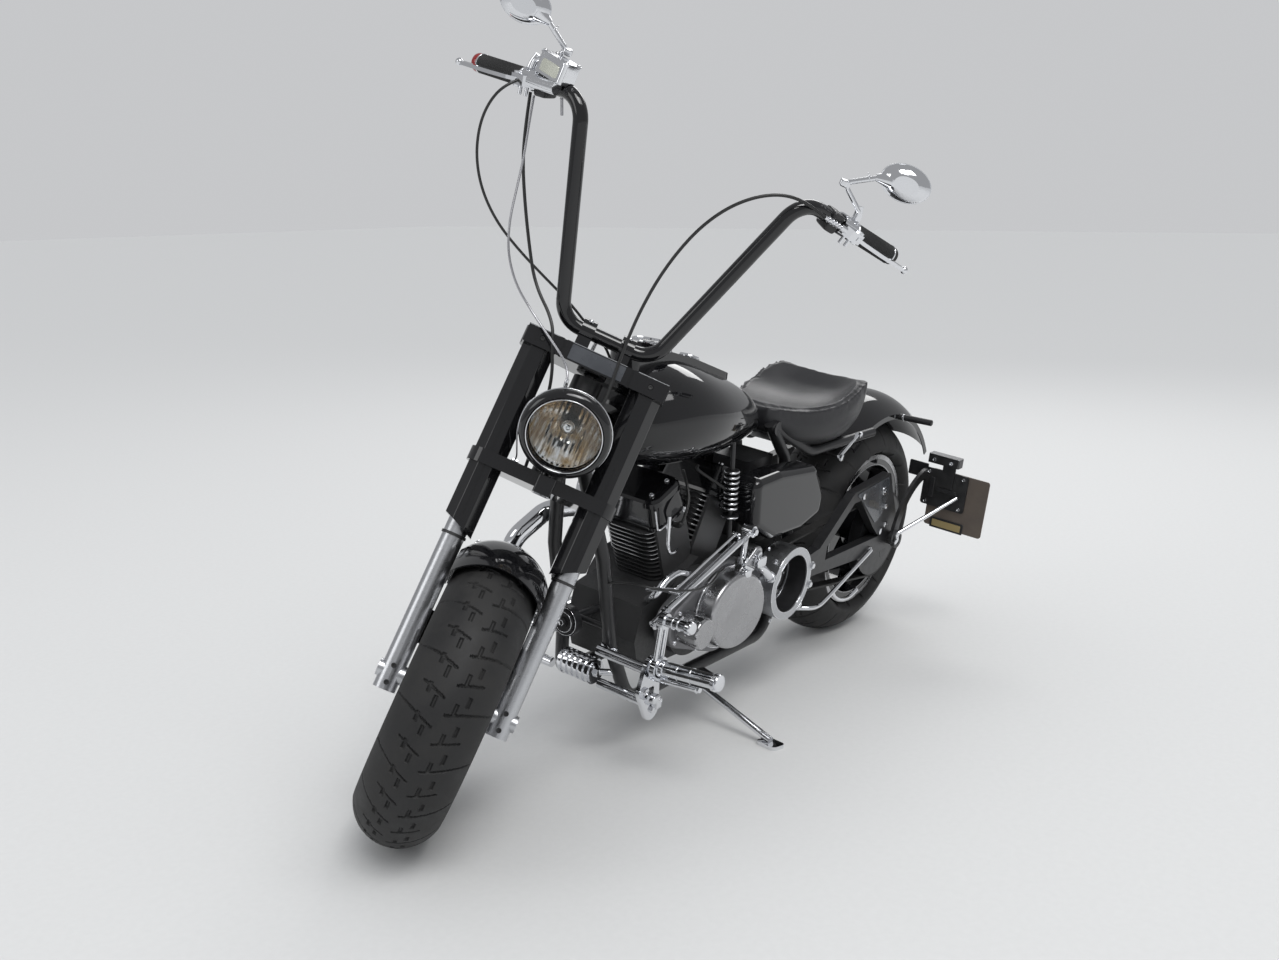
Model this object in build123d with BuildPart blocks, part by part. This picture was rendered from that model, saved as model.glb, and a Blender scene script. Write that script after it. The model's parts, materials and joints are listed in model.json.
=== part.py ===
from build123d import *
from math import cos, radians, sin, sqrt, tan
import os

# Custom heavy cruiser, leaning on its side stand with the steering on its left stop.
# Every piece is drawn on the upright, straight-ahead machine: x forward, y to its left, z up,
# origin under the rear axle on the ground. The last part of the file leans and steers it.

# Wheels and chassis
wheelbase = 1690.0
rake = 30.7
trail = 145.0
lean = 8.7
stop_angle = 37.5
front_radius = 317.0
front_width = 176.0
front_crown = 94.0
rear_radius = 329.0
rear_width = 204.0
rear_crown = 108.0
rim_radius = 216.0
rim_lip = 11.0
running_gap = 0.3
seat_gap = 0.3

# Steering geometry that follows from those
offset = front_radius * sin(radians(rake)) - trail * cos(radians(rake))
front_axle_point = Vector(wheelbase, 0, front_radius)
rear_axle_point = Vector(0, 0, rear_radius)
fork = Plane(
    origin=front_axle_point,
    x_dir=(cos(radians(rake)), 0, sin(radians(rake))),
    z_dir=(-sin(radians(rake)), 0, cos(radians(rake))),
)

# Fork
leg_spacing = 246.0
leg_half = leg_spacing / 2
slider_radius = 24.0
slider_low = -38.0
slider_top = 346.0
cover_flat = 35.0
cover_edge = 5.0
cover_low = 308.0
cover_slant = 25.0
cover_top = 727.0
cover_groove = 4.0
axle_radius = 12.0
axle_half_front = 152.0
axle_bore = 6.0
clamp_thick = 40.0
clamp_notch = 6.0
clamp_ahead = 42.0
lower_clamp_low = 458.0
lower_clamp_thick = 30.0
stem_radius = 15.0
head_radius = 33.0
head_low = lower_clamp_low + lower_clamp_thick + 6.0
head_top = cover_top - 6.0
head_bore = stem_radius + running_gap

# Brakes
disc_radius = 149.0
disc_thick = 5.0
disc_plane = 80.0
disc_band = 104.0
disc_carrier = 58.0
disc_arms = 6
disc_arm_wide = 15.0
hub_radius = 42.0

# Handlebar
bar_radius = 16.0
bar_ahead = 3.0
bar_rise = cover_top + clamp_thick + 42.0
bar_low_half = 104.0
bar_low_bend = 58.0
bar_top_point = Vector(wheelbase - 460, 247, 1446)
bar_end_point = Vector(wheelbase - 634, 484, 1390)
bar_top_bend = 60.0
riser_half = 45.0
riser_wide = 30.0
riser_radius = 25.0
grip_radius = 19.5
grip_long = 132.0
grip_cap = 14.0

# Headlight
lamp_front = Vector(wheelbase - 195, 0, 862)
lamp_radius = 97.0
lens_radius = 77.0
lamp_depth = 100.0
lens_thick = 3.0
bulb_radius = 13.0

# Front mudguard
guard_gap = 15.0
guard_thick = 2.5
guard_half = 96.0
guard_front_angle = 84.0
guard_rear_angle = 168.0
guard_shoulder = 52.0
guard_drop = 30.0
boss_height = 222.0
boss_radius = 9.0

# Frame tubes
tube_radius = 16.0
down_half = 70.0
rail_half = 100.0
rail_height = 158.0
backbone_radius = 26.0

# Engine
crank = Vector(wheelbase - 775, 0, 330)
half_vee = 24.0
case_half = 120.0
barrel_low = 118.0
fin_count = 12
fin_pitch = 12.6
fin_thick = 4.0
fin_size = 150.0
core_radius = 60.0
panel_long = 112.0
rocker_high = 78.0
rocker_half = 92.0
rocker_long = 128.0

# Swingarm and rear end
arm_plane = 160.0
arm_thick = 26.0
pivot = Vector(wheelbase - 1212, 0, 350)
belt_inner = 110.0
belt_wide = 28.0
rear_pulley_radius = 125.0
front_pulley = Vector(wheelbase - 1070, 0, 349)
front_pulley_radius = 62.0
belt_thick = 6.0

pieces = {}


def back(distance):
    """Distance ahead of the rear axle of a place measured back from the front axle."""
    return wheelbase - distance


def in_fork(ahead, left, up):
    """Point given by its distance ahead of the leg line, to the left, and up along the legs."""
    return fork.from_local_coords(Vector(ahead, left, up))


def fork_plane(ahead, left, up):
    """Plane square to the legs through a point of the fork."""
    return Plane(origin=in_fork(ahead, left, up), x_dir=fork.x_dir, z_dir=fork.z_dir)


def cross_plane(centre, left):
    """Upright plane along the machine at a distance to its left, facing left."""
    middle = Vector(centre)
    return Plane(origin=(middle.X, left, middle.Z), x_dir=(-1, 0, 0), z_dir=(0, 1, 0))


def tube(points, bend, radius):
    """Round bar along straight runs joined by bends."""
    with BuildPart(mode=Mode.PRIVATE) as bar:
        with BuildLine() as route:
            if len(points) > 2:
                FilletPolyline(*points, radius=bend)
            else:
                Line(*points)
        with BuildSketch(Plane(origin=route.line @ 0, z_dir=route.line % 0)):
            Circle(radius)
        sweep(path=route.line)
    return bar.part


def mirrored(piece):
    """The same piece on the other side of the machine."""
    return mirror(piece, about=Plane.XZ)


def ring(centre, low, high, left, right):
    """Plain ring about the cross axle between two radii and two sideways planes."""
    with BuildPart(mode=Mode.PRIVATE) as solid:
        with BuildSketch(cross_plane(centre, left)):
            Circle(high)
            if low > 0:
                Circle(low, mode=Mode.SUBTRACT)
        extrude(amount=right - left)
    return solid.part


def plate(points, left, right):
    """Flat plate from its outline, given as (x, z) corners, between two sideways planes."""
    with BuildPart(mode=Mode.PRIVATE) as solid:
        with BuildSketch(Plane(origin=(0, left, 0), x_dir=(1, 0, 0), z_dir=(0, -1, 0))):
            with BuildLine():
                Polyline(*points, close=True)
            make_face()
        extrude(amount=left - right)
    return solid.part


def rod(start, end, radius):
    """Straight round rod between two points."""
    return tube([start, end], 0, radius)


def cone(start, end, first, last):
    """Tapered round piece between two points."""
    way = Vector(end) - Vector(start)
    with BuildPart(mode=Mode.PRIVATE) as solid:
        with BuildSketch(Plane(origin=start, z_dir=way)):
            Circle(first)
        with BuildSketch(Plane(origin=end, z_dir=way)):
            Circle(last)
        loft()
    return solid.part


def tyre(centre, radius, width, crown, seat_half):
    """Round crown, sidewalls leaning in to the beads, bored for its rim."""
    half = width / 2
    drop = crown - sqrt(crown**2 - half**2)
    lip = rim_radius + rim_lip + 1
    side = ((half + seat_half) / 2 + 4, (radius - drop + lip) / 2)
    with BuildPart(mode=Mode.PRIVATE) as solid:
        with BuildSketch(Plane(origin=centre, x_dir=(0, 1, 0), z_dir=(1, 0, 0))):
            with BuildLine():
                ThreePointArc((-half, radius - drop), (0, radius), (half, radius - drop))
                ThreePointArc((half, radius - drop), side, (seat_half, lip))
                Line((seat_half, lip), (seat_half, rim_radius))
                Line((seat_half, rim_radius), (-seat_half, rim_radius))
                Line((-seat_half, rim_radius), (-seat_half, lip))
                ThreePointArc((-seat_half, lip), (-side[0], side[1]), (-half, radius - drop))
            make_face()
        revolve(axis=Axis(centre, (0, 1, 0)))
    return solid.part


def cast_wheel(centre, rim_half, hub_half, spoke_half, bore, spokes):
    """Rim with lips, tapered spokes and hub."""
    lip = 8.0
    with BuildPart(mode=Mode.PRIVATE) as wheel:
        add(ring(centre, rim_radius - 22, rim_radius - seat_gap, -rim_half, rim_half))
        add(ring(centre, rim_radius - 22, rim_radius + rim_lip, -rim_half, -rim_half + lip))
        add(ring(centre, rim_radius - 22, rim_radius + rim_lip, rim_half - lip, rim_half))
        with BuildSketch(cross_plane(centre, -spoke_half)):
            with PolarLocations(0, spokes, start_angle=90):
                Polygon(
                    (hub_radius - 6, -24),
                    (rim_radius - 16, -13),
                    (rim_radius - 16, 13),
                    (hub_radius - 6, 24),
                    align=None,
                )
        extrude(amount=2 * spoke_half)
        add(ring(centre, 0, hub_radius, -hub_half, hub_half))
        add(ring(centre, 0, bore, -hub_half - 1, hub_half + 1), mode=Mode.SUBTRACT)
    return wheel.part


# Front wheel
front_rim_half = 70.0
front_hub_half = disc_plane - disc_thick / 2
pieces["front_tyre"] = tyre(
    front_axle_point, front_radius, front_width, front_crown, front_rim_half - 8 - seat_gap
)
pieces["front_wheel"] = cast_wheel(
    front_axle_point, front_rim_half, front_hub_half, 15, axle_radius + running_gap, 5
)


def brake_disc(centre, bore, near, thick):
    """Friction band on the arms of its carrier."""
    with BuildPart(mode=Mode.PRIVATE) as disc:
        with BuildSketch(cross_plane(centre, near)):
            Circle(disc_radius)
            Circle(disc_band, mode=Mode.SUBTRACT)
            with PolarLocations((disc_band + disc_carrier) / 2, disc_arms):
                Rectangle(disc_band - disc_carrier + 12, disc_arm_wide)
            Circle(disc_carrier)
            Circle(bore, mode=Mode.SUBTRACT)
        extrude(amount=thick)
    return disc.part


disc_bore = axle_radius + running_gap
pieces["front_discs"] = Part() + [
    brake_disc(front_axle_point, disc_bore, y, disc_thick)
    for y in (front_hub_half, -front_hub_half - disc_thick)
]

# Fork sliders, joined by the front axle
with BuildPart() as sliders:
    for side in (-1, 1):
        with BuildSketch(fork_plane(0, side * leg_half, slider_low)):
            Circle(slider_radius)
        extrude(amount=slider_top - slider_low - seat_gap)
        with BuildSketch(fork_plane(-slider_radius - 4, side * (leg_half - 4), 60)):
            Rectangle(30, 22)
        extrude(amount=95)
        with BuildSketch(cross_plane(in_fork(-20, 0, boss_height), side * (guard_half + seat_gap))):
            Circle(boss_radius)
        extrude(amount=side * (leg_half - guard_half))
    with BuildSketch(cross_plane(front_axle_point, -axle_half_front)):
        Circle(axle_radius)
    extrude(amount=2 * axle_half_front)
    for side in (-1, 1):
        with BuildSketch(cross_plane(front_axle_point, side * (disc_plane + disc_thick / 2 + 0.5))):
            Circle(axle_radius + 8)
        extrude(amount=side * (leg_half - disc_plane - disc_thick / 2))
        with BuildSketch(cross_plane(front_axle_point, side * leg_half)):
            Circle(axle_radius + 6)
        extrude(amount=side * (axle_half_front - leg_half))
    # Hollow axle, and an open hole up the foot of each leg
    with BuildSketch(cross_plane(front_axle_point, -axle_half_front)):
        Circle(axle_bore)
    extrude(amount=2 * axle_half_front, mode=Mode.SUBTRACT)
    for side in (-1, 1):
        with BuildSketch(fork_plane(0, side * leg_half, slider_low)):
            Circle(slider_radius - 9)
        extrude(amount=18, mode=Mode.SUBTRACT)
pieces["fork_sliders"] = sliders.part

# Upper fork covers: eight-sided, cut on the slant at the foot, grooved down the lower front
def octagon(grow):
    """Eight-sided section of a fork cover, grown by a clearance."""
    with BuildSketch(mode=Mode.PRIVATE) as outline:
        RegularPolygon(cover_flat + grow, 8, major_radius=False, rotation=22.5)
        fillet(outline.vertices(), radius=cover_edge)
    return outline.sketch


cover_middle = cover_low + cover_flat * tan(radians(cover_slant))
slant_way = Vector(0, -sin(radians(cover_slant)), cos(radians(cover_slant)))
with BuildPart() as cover:
    with BuildSketch(fork_plane(0, leg_half, cover_low)):
        add(octagon(0))
    extrude(amount=cover_top - cover_low - seat_gap)
    with BuildSketch(fork_plane(0, leg_half, cover_low)):
        Circle(slider_radius + seat_gap)
    extrude(amount=slider_top - cover_low, mode=Mode.SUBTRACT)
    with BuildSketch(fork_plane(cover_flat, leg_half, cover_low + 40)):
        Rectangle(cover_groove, cover_groove)
    extrude(amount=(cover_top - cover_low) / 2, mode=Mode.SUBTRACT)
    split(
        bisect_by=Plane(
            origin=in_fork(0, leg_half, cover_middle),
            z_dir=fork.from_local_coords(slant_way) - fork.origin,
        ),
        keep=Keep.TOP,
    )
pieces["fork_covers"] = Part() + [cover.part, mirrored(cover.part)]

# Fork clamps, stem and handlebar risers in one
bar_centre = in_fork(bar_ahead, 0, bar_rise)
with BuildPart() as clamps:
    with BuildSketch(fork_plane(0, 0, cover_top)):
        with Locations((0, -leg_half), (0, leg_half)):
            Circle(clamp_ahead)
        with Locations((-offset, 0)):
            Circle(stem_radius + 16)
        make_hull()
    extrude(amount=clamp_thick)
    # Flat faced end blocks with a notch and a bolt hole each
    for side in (-1, 1):
        with BuildSketch(fork_plane(clamp_ahead / 2, side * leg_half, cover_top)):
            Rectangle(clamp_ahead, 2 * (cover_flat + 2))
        extrude(amount=clamp_thick)
        with BuildSketch(fork_plane(clamp_ahead, side * (leg_half - clamp_ahead - 4), cover_top)):
            Rectangle(2 * clamp_notch, clamp_notch)
        extrude(amount=clamp_thick, mode=Mode.SUBTRACT)
        bolt_seat = in_fork(clamp_ahead, side * leg_half, cover_top + clamp_thick / 2)
        with BuildSketch(Plane(origin=bolt_seat, z_dir=fork.x_dir)):
            Circle(clamp_notch)
        extrude(amount=-clamp_notch, mode=Mode.SUBTRACT)
    with BuildSketch(fork_plane(0, 0, lower_clamp_low)):
        with Locations((0, -leg_half), (0, leg_half)):
            Circle(clamp_ahead)
        with Locations((-offset, 0)):
            Circle(stem_radius + 13)
        make_hull()
    extrude(amount=lower_clamp_thick)
    with BuildSketch(fork_plane(-offset, 0, lower_clamp_low)):
        Circle(stem_radius)
    extrude(amount=cover_top - lower_clamp_low)
    for side in (-1, 1):
        with BuildSketch(fork_plane(bar_ahead, side * riser_half, cover_top + clamp_thick)):
            Rectangle(36, riser_wide)
        extrude(amount=bar_rise - cover_top - clamp_thick)
        with BuildSketch(cross_plane(bar_centre, side * riser_half - riser_wide / 2)):
            Circle(riser_radius)
        extrude(amount=riser_wide)
    with BuildSketch(cross_plane(bar_centre, -leg_half)):
        Circle(bar_radius + seat_gap)
    extrude(amount=leg_spacing, mode=Mode.SUBTRACT)
    for side in (-1, 1):
        with BuildSketch(fork_plane(0, side * leg_half, lower_clamp_low - 10)):
            add(octagon(seat_gap))
        extrude(amount=lower_clamp_thick + 20, mode=Mode.SUBTRACT)

# Tall handlebar in one bent tube
right_half = [
    (bar_end_point.X, -bar_end_point.Y, bar_end_point.Z),
    (bar_top_point.X, -bar_top_point.Y, bar_top_point.Z),
    (bar_centre.X, -bar_low_half, bar_centre.Z),
]
left_half = [
    (bar_centre.X, bar_low_half, bar_centre.Z),
    tuple(bar_top_point),
    tuple(bar_end_point),
]
bar_bends = [bar_top_bend, bar_low_bend, bar_low_bend, bar_top_bend]
pieces["handlebar"] = tube(right_half + left_half, bar_bends, bar_radius)

# Grips with domed ends over the bar's last run
grip_way = (bar_end_point - bar_top_point).normalized()
with BuildPart() as grip:
    grip_start = Plane(origin=bar_end_point - grip_way * grip_long, z_dir=grip_way)
    with BuildSketch(grip_start):
        Circle(grip_radius)
    extrude(amount=grip_long + grip_cap)
    with BuildSketch(grip_start):
        Circle(bar_radius + seat_gap)
    extrude(amount=grip_long + seat_gap, mode=Mode.SUBTRACT)
    fillet(grip.edges().sort_by(Axis(grip_start.origin, grip_way))[-1], radius=6)
pieces["grips"] = Part() + [grip.part, mirrored(grip.part)]

# Clutch and brake levers: split clamp, perch, tapered blade with its ball, cable adjuster
clamp_wide = 46.0
arm_start = bar_end_point - grip_way * (grip_long + 4 + clamp_wide / 2)
ahead_way = (Vector(1, 0, 0) - grip_way * grip_way.X).normalized()
lever_plane = Plane(origin=arm_start, x_dir=grip_way, z_dir=grip_way.cross(ahead_way))
perch_outline = [(-26, 8), (-26, 34), (-12, 46), (22, 46), (32, 34), (22, 8)]
blade_outline = [(6, 30), (34, 37), (76, 46), (158, 53), (168, 59), (158, 65), (76, 64), (28, 56), (6, 48)]
perch_half = 11.0
blade_half = 4.0
ball_radius = 8.5
adjuster_end = 95.0
adjuster_ahead = 34.0


def lever_point(along, ahead, above=0):
    """Place given along the grip, ahead of it and above the lever's plane."""
    return lever_plane.from_local_coords(Vector(along, ahead, -above))


with BuildPart() as lever:
    with BuildSketch(Plane(origin=lever_point(-clamp_wide / 2, 0), z_dir=grip_way)):
        Circle(bar_radius + 7)
    extrude(amount=clamp_wide)
    with BuildSketch(lever_plane.offset(-perch_half)):
        with BuildLine():
            Polyline(*perch_outline, close=True)
        make_face()
        fillet(vertices(), radius=3)
    extrude(amount=2 * perch_half)
    with BuildSketch(lever_plane.offset(-blade_half)):
        with BuildLine():
            Polyline(*blade_outline, close=True)
        make_face()
        fillet(vertices(), radius=4)
    extrude(amount=2 * blade_half)
    with Locations(lever_point(166, 59)):
        Sphere(ball_radius)
    # Gap of the split clamp behind the bar
    gap_start = lever_point(-clamp_wide / 2 - 1, -bar_radius - 4)
    with BuildSketch(Plane(origin=gap_start, x_dir=ahead_way, z_dir=grip_way)):
        Rectangle(16, 3)
    extrude(amount=clamp_wide + 2, mode=Mode.SUBTRACT)
    with BuildSketch(Plane(origin=lever_point(-clamp_wide, 0), z_dir=grip_way)):
        Circle(bar_radius + seat_gap)
    extrude(amount=2 * clamp_wide, mode=Mode.SUBTRACT)
adjuster = rod(
    tuple(lever_point(-24, adjuster_ahead)), tuple(lever_point(-adjuster_end, adjuster_ahead)), 4.5
) + rod(tuple(lever_point(-24, adjuster_ahead)), tuple(lever_point(-42, adjuster_ahead)), 7)
pieces["clutch_lever"] = lever.part + adjuster

reservoir_size = (78.0, 48.0, 40.0)
reservoir_lid = 5.0
reservoir_corner = 7.0
cylinder_radius = 14.0
reservoir_foot = lever_point(-62, 14)
with BuildPart() as reservoir:
    lid_plane = Plane(
        origin=reservoir_foot + Vector(0, 0, bar_radius + 1 + reservoir_size[2]),
        x_dir=(grip_way.X, grip_way.Y, 0),
        z_dir=(0, 0, 1),
    )
    with BuildSketch(lid_plane):
        RectangleRounded(reservoir_size[0], reservoir_size[1], reservoir_corner)
    extrude(amount=-reservoir_size[2])
    with BuildSketch(lid_plane):
        RectangleRounded(reservoir_size[0] + 4, reservoir_size[1] + 4, reservoir_corner + 2)
    extrude(amount=reservoir_lid)
    chamfer(reservoir.faces().sort_by(Axis.Z)[-1].edges(), length=1.5)
    add(rod(tuple(lever_point(-20, 32, 4)), tuple(lever_point(-96, 32, 4)), cylinder_radius))
bar_run = rod(tuple(bar_end_point), tuple(bar_top_point), bar_radius + seat_gap)
pieces["brake_lever"] = mirrored(lever.part + (reservoir.part - bar_run))

# Mirrors: oval glass in a drop-shaped shell that draws down to its stem
mirror_centre = Vector(wheelbase - 550, 432, 1552)
mirror_half = (55.0, 38.0)
mirror_edge = 8.0
mirror_neck = mirror_centre + Vector(12, -62, -14)
mirror_foot = lever_point(14, 0, bar_radius + 3)
mirror_elbow = mirror_centre + Vector(6, -116, -52)


def mirror_plane(ahead):
    """Plane of the glass, moved ahead."""
    return Plane(origin=mirror_centre + Vector(ahead, 0, 0), x_dir=(0, 1, 0), z_dir=(1, 0, 0))


with BuildPart() as looking:
    with BuildSketch(mirror_plane(0)):
        Ellipse(*mirror_half)
    extrude(amount=mirror_edge)
    with BuildSketch(mirror_plane(mirror_edge)):
        Ellipse(*mirror_half)
    with BuildSketch(mirror_plane(mirror_edge + 12)):
        Ellipse(0.86 * mirror_half[0], 0.84 * mirror_half[1])
    with BuildSketch(mirror_plane(mirror_edge + 24)):
        Ellipse(0.5 * mirror_half[0], 0.46 * mirror_half[1])
    loft()
    add(cone(tuple(mirror_centre + Vector(12, -30, -6)), tuple(mirror_neck), 20, 7))
    add(
        tube(
            [
                tuple(mirror_foot),
                tuple(mirror_foot + Vector(0, 0, 22)),
                tuple(mirror_elbow),
                tuple(mirror_neck + Vector(0, 4, 1)),
            ],
            12,
            5.5,
        )
    )
pieces["mirrors"] = Part() + [
    looking.part - pieces["clutch_lever"],
    mirrored(looking.part) - pieces["brake_lever"],
]

# Hose block on the lower clamp, under the headlight
with BuildPart() as block:
    with BuildSketch(fork_plane(44, 5, lower_clamp_low - 12)):
        RectangleRounded(34, 39, 5)
    extrude(amount=38)
pieces["fork_clamps"] = clamps.part + block.part

# Headlight shell with its bowl, rim and glass
def cap_arc(pole, edge):
    """Arc of a dome from its pole on the level axis to its edge, square to the axis."""
    deep = edge[0] - pole[0]
    wide = edge[1] - pole[1]
    dome = (wide**2 + deep**2) / (2 * abs(deep))
    side = 1 if deep > 0 else -1
    half_way = pole[0] + side * (dome - sqrt(dome**2 - wide**2 / 4))
    return ThreePointArc(pole, (half_way, pole[1] + wide / 2), edge)


with BuildPart() as bucket:
    with BuildSketch(Plane.XZ):
        with BuildLine():
            back_face = lamp_front.X - lamp_depth
            top = lamp_front.Z
            Line((back_face, top), (back_face, top + 36))
            ThreePointArc(
                (back_face, top + 36),
                (back_face + 34, top + 78),
                (lamp_front.X - 14, top + lamp_radius - 5),
            )
            Line((lamp_front.X - 14, top + lamp_radius - 5), (lamp_front.X - 14, top + lens_radius + 4))
            cap_arc((back_face + 18, top), (lamp_front.X - 14, top + lens_radius + 4))
            Line((back_face + 18, top), (back_face, top))
        make_face()
    revolve(axis=Axis((0, 0, lamp_front.Z), (1, 0, 0)))
    # Bulb holder and its domed cap on the reflector's axis
    add(rod((back_face + 14, 0, top), (back_face + 44, 0, top), bulb_radius - 4))
    add(rod((back_face + 40, 0, top), (back_face + 48, 0, top), bulb_radius))
    add(cone((back_face + 48, 0, top), (back_face + 54, 0, top), bulb_radius, bulb_radius - 4))
with BuildPart() as rim:
    with BuildSketch(Plane.XZ):
        with BuildLine():
            face = lamp_front.X
            seat = (face - 14 + seat_gap, top + lamp_radius - 2)
            lip = (face + 8, top + lens_radius + 5)
            Line((seat[0], top + lens_radius), seat)
            ThreePointArc(seat, (face + 1, top + lamp_radius - 5), lip)
            Line(lip, (face + 2, top + lens_radius))
            Line((face + 2, top + lens_radius), (seat[0], top + lens_radius))
        make_face()
    revolve(axis=Axis((0, 0, lamp_front.Z), (1, 0, 0)))
pieces["headlight_rim"] = rim.part
with BuildPart() as lens:
    with BuildSketch(Plane.XZ):
        with BuildLine():
            edge = top + lens_radius - seat_gap
            cap_arc((face + 5 - lens_thick, top), (face - 6 - lens_thick, edge))
            Line((face - 6 - lens_thick, edge), (face - 6, edge))
            cap_arc((face + 5, top), (face - 6, edge))
            Line((face + 5, top), (face + 5 - lens_thick, top))
        make_face()
    revolve(axis=Axis((0, 0, lamp_front.Z), (1, 0, 0)))
pieces["headlight_glass"] = lens.part
lamp_stay = rod(
    (lamp_front.X - lamp_depth + 40, 0, lamp_front.Z - 60), tuple(in_fork(28, 0, lower_clamp_low + 12)), 12
)
pieces["headlight_shell"] = bucket.part + (lamp_stay - bucket.part - pieces["fork_clamps"])

# Front mudguard: rolled crown and straight sides, with a tab to each boss
guard_inner = front_radius + guard_gap


def arched(centre, inner, thick, half, shoulder, drop, first, last):
    """Sheet of rolled crown section swept about an axle between two angles from straight ahead."""
    start = radians(first)
    section_plane = Plane(origin=centre, x_dir=(0, 1, 0), z_dir=(sin(start), 0, -cos(start)))
    with BuildPart(mode=Mode.PRIVATE) as sheet:
        with BuildSketch(section_plane):
            for inside in (0, thick):
                with BuildLine():
                    wide = half - inside
                    high = inner + thick - inside
                    low = inner - shoulder - drop
                    ThreePointArc((-wide, high - shoulder), (0, high), (wide, high - shoulder))
                    Line((wide, high - shoulder), (wide, low))
                    Line((wide, low), (-wide, low))
                    Line((-wide, low), (-wide, high - shoulder))
                make_face(mode=Mode.SUBTRACT if inside else Mode.ADD)
        revolve(axis=Axis(centre, (0, -1, 0)), revolution_arc=last - first)
    return sheet.part


tab_foot = in_fork(-20, 0, boss_height)
with BuildPart() as guard:
    add(
        arched(
            front_axle_point, guard_inner, guard_thick, guard_half, guard_shoulder, guard_drop,
            guard_front_angle, guard_rear_angle,
        )
    )
    for side in (-1, 1):
        with BuildSketch(cross_plane(tab_foot, side * (guard_half - guard_thick))):
            Circle(15)
        extrude(amount=side * guard_thick)
        with BuildSketch(fork_plane(-20, side * (guard_half - guard_thick / 2), boss_height)):
            Rectangle(30, guard_thick)
        extrude(amount=60)
pieces["front_mudguard"] = guard.part

# Brake calipers, each straddling its disc behind the leg
caliper_near = disc_plane - disc_thick / 2 - 1.2
caliper_far = disc_plane + disc_thick / 2 + 1.2
with BuildPart() as caliper:
    with BuildSketch(fork_plane(-74, disc_plane + 2, 72)):
        RectangleRounded(62, 40, 8)
        with Locations((28, 31)):
            Rectangle(26, 28)
    extrude(amount=74)
    with BuildSketch(cross_plane(front_axle_point, caliper_near)):
        Circle(disc_radius + 4)
    extrude(amount=caliper_far - caliper_near, mode=Mode.SUBTRACT)
    for up in (90, 128):
        add(ring(in_fork(-78, 0, up), 0, 14, disc_plane + 20, disc_plane + 28))
pieces["front_calipers"] = Part() + [
    caliper.part - sliders.part,
    mirrored(caliper.part) - sliders.part,
]

# Frame
down_start = in_fork(-offset - 10, 20, head_low + 110)
down_top = (down_start.X, 20, down_start.Z)
with BuildPart() as frame:
    with BuildSketch(fork_plane(-offset, 0, head_low)):
        Circle(head_radius)
    extrude(amount=head_top - head_low)
    for side in (1, -1):
        add(
            tube(
                [
                    (down_top[0], side * down_top[1], down_top[2]),
                    (back(428), side * down_half, 525),
                    (back(490), side * down_half, 300),
                    (back(540), side * rail_half, rail_height),
                    (back(1130), side * rail_half, rail_height),
                    (back(1250), side * 88, 340),
                    (back(1170), side * 74, 640),
                    (back(1100), side * 60, 735),
                ],
                [60, 80, 60, 80, 90, 40],
                tube_radius,
            )
        )
        add(
            tube(
                [
                    (back(1105), side * 60, 728),
                    (back(1270), side * 96, 640),
                    (120, side * 122, rear_radius + 326),
                ],
                80,
                13,
            )
        )
    add(rod(tuple(in_fork(-offset - 12, 0, head_low + 120)), (back(1115), 0, 722), backbone_radius))
    add(rod((back(1115), -78, 722), (back(1115), 78, 722), 18))
    add(rod((back(1245), -95, 350), (back(1245), 95, 350), 20))
    with BuildSketch(fork_plane(-offset, 0, head_low)):
        Circle(head_bore)
    extrude(amount=head_top - head_low, mode=Mode.SUBTRACT)
pieces["main_frame"] = frame.part

# Engine: crankcase with gearbox, cut square under each barrel
vee_axes = [Vector(sin(radians(a)), 0, cos(radians(a))) for a in (half_vee, -half_vee)]
barrel_planes = [
    Plane(origin=crank + way * barrel_low, x_dir=(way.Z, 0, -way.X), z_dir=way) for way in vee_axes
]
seat_half = 84.0
peak = crank.Z + barrel_low / cos(radians(half_vee))
front_foot = barrel_planes[0].from_local_coords((seat_half, 0, 0))
rear_foot = barrel_planes[1].from_local_coords((-seat_half, 0, 0))
case_outline = [
    (crank.X + 205, 222),
    (crank.X + 232, 300),
    (crank.X + 215, front_foot.Z - 20),
    (front_foot.X, front_foot.Z),
    (crank.X, peak),
    (rear_foot.X, rear_foot.Z),
    (rear_foot.X - 20, 436),
    (back(1130), 436),
    (back(1150), 400),
    (back(1150), 260),
    (back(1090), 205),
]
with BuildPart() as case:
    add(plate(case_outline, -case_half + 20, case_half - 20))
    add(ring((crank.X + 20, 0, crank.Z), 0, 112, case_half - 20, case_half))
    add(ring((crank.X + 20, 0, crank.Z), 0, 104, -case_half - 22, -case_half + 20))
    add(ring(front_pulley, 0, 20, case_half - 20, belt_inner + belt_wide / 2))
pieces["crankcase"] = case.part - frame.part

# Finned barrels, each trimmed where the two meet in the vee
with BuildPart() as barrels:
    for place in barrel_planes:
        with BuildSketch(place):
            Circle(core_radius)
        extrude(amount=fin_count * fin_pitch)
        for n in range(fin_count):
            with BuildSketch(place.offset(4 + n * fin_pitch)):
                RectangleRounded(fin_size, fin_size - 6, 34)
            extrude(amount=fin_thick)
        # Smooth panel over the fins' left ends
        with BuildSketch(place):
            with Locations((0, fin_size / 2 - 4)):
                Rectangle(panel_long, 10)
        extrude(amount=fin_count * fin_pitch)
with BuildPart(mode=Mode.PRIVATE) as vee_gap:
    with BuildSketch(Plane.XY):
        with Locations((crank.X, 0)):
            Rectangle(6, 400)
    extrude(amount=900)
pieces["cylinders"] = barrels.part - vee_gap.part - case.part

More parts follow.
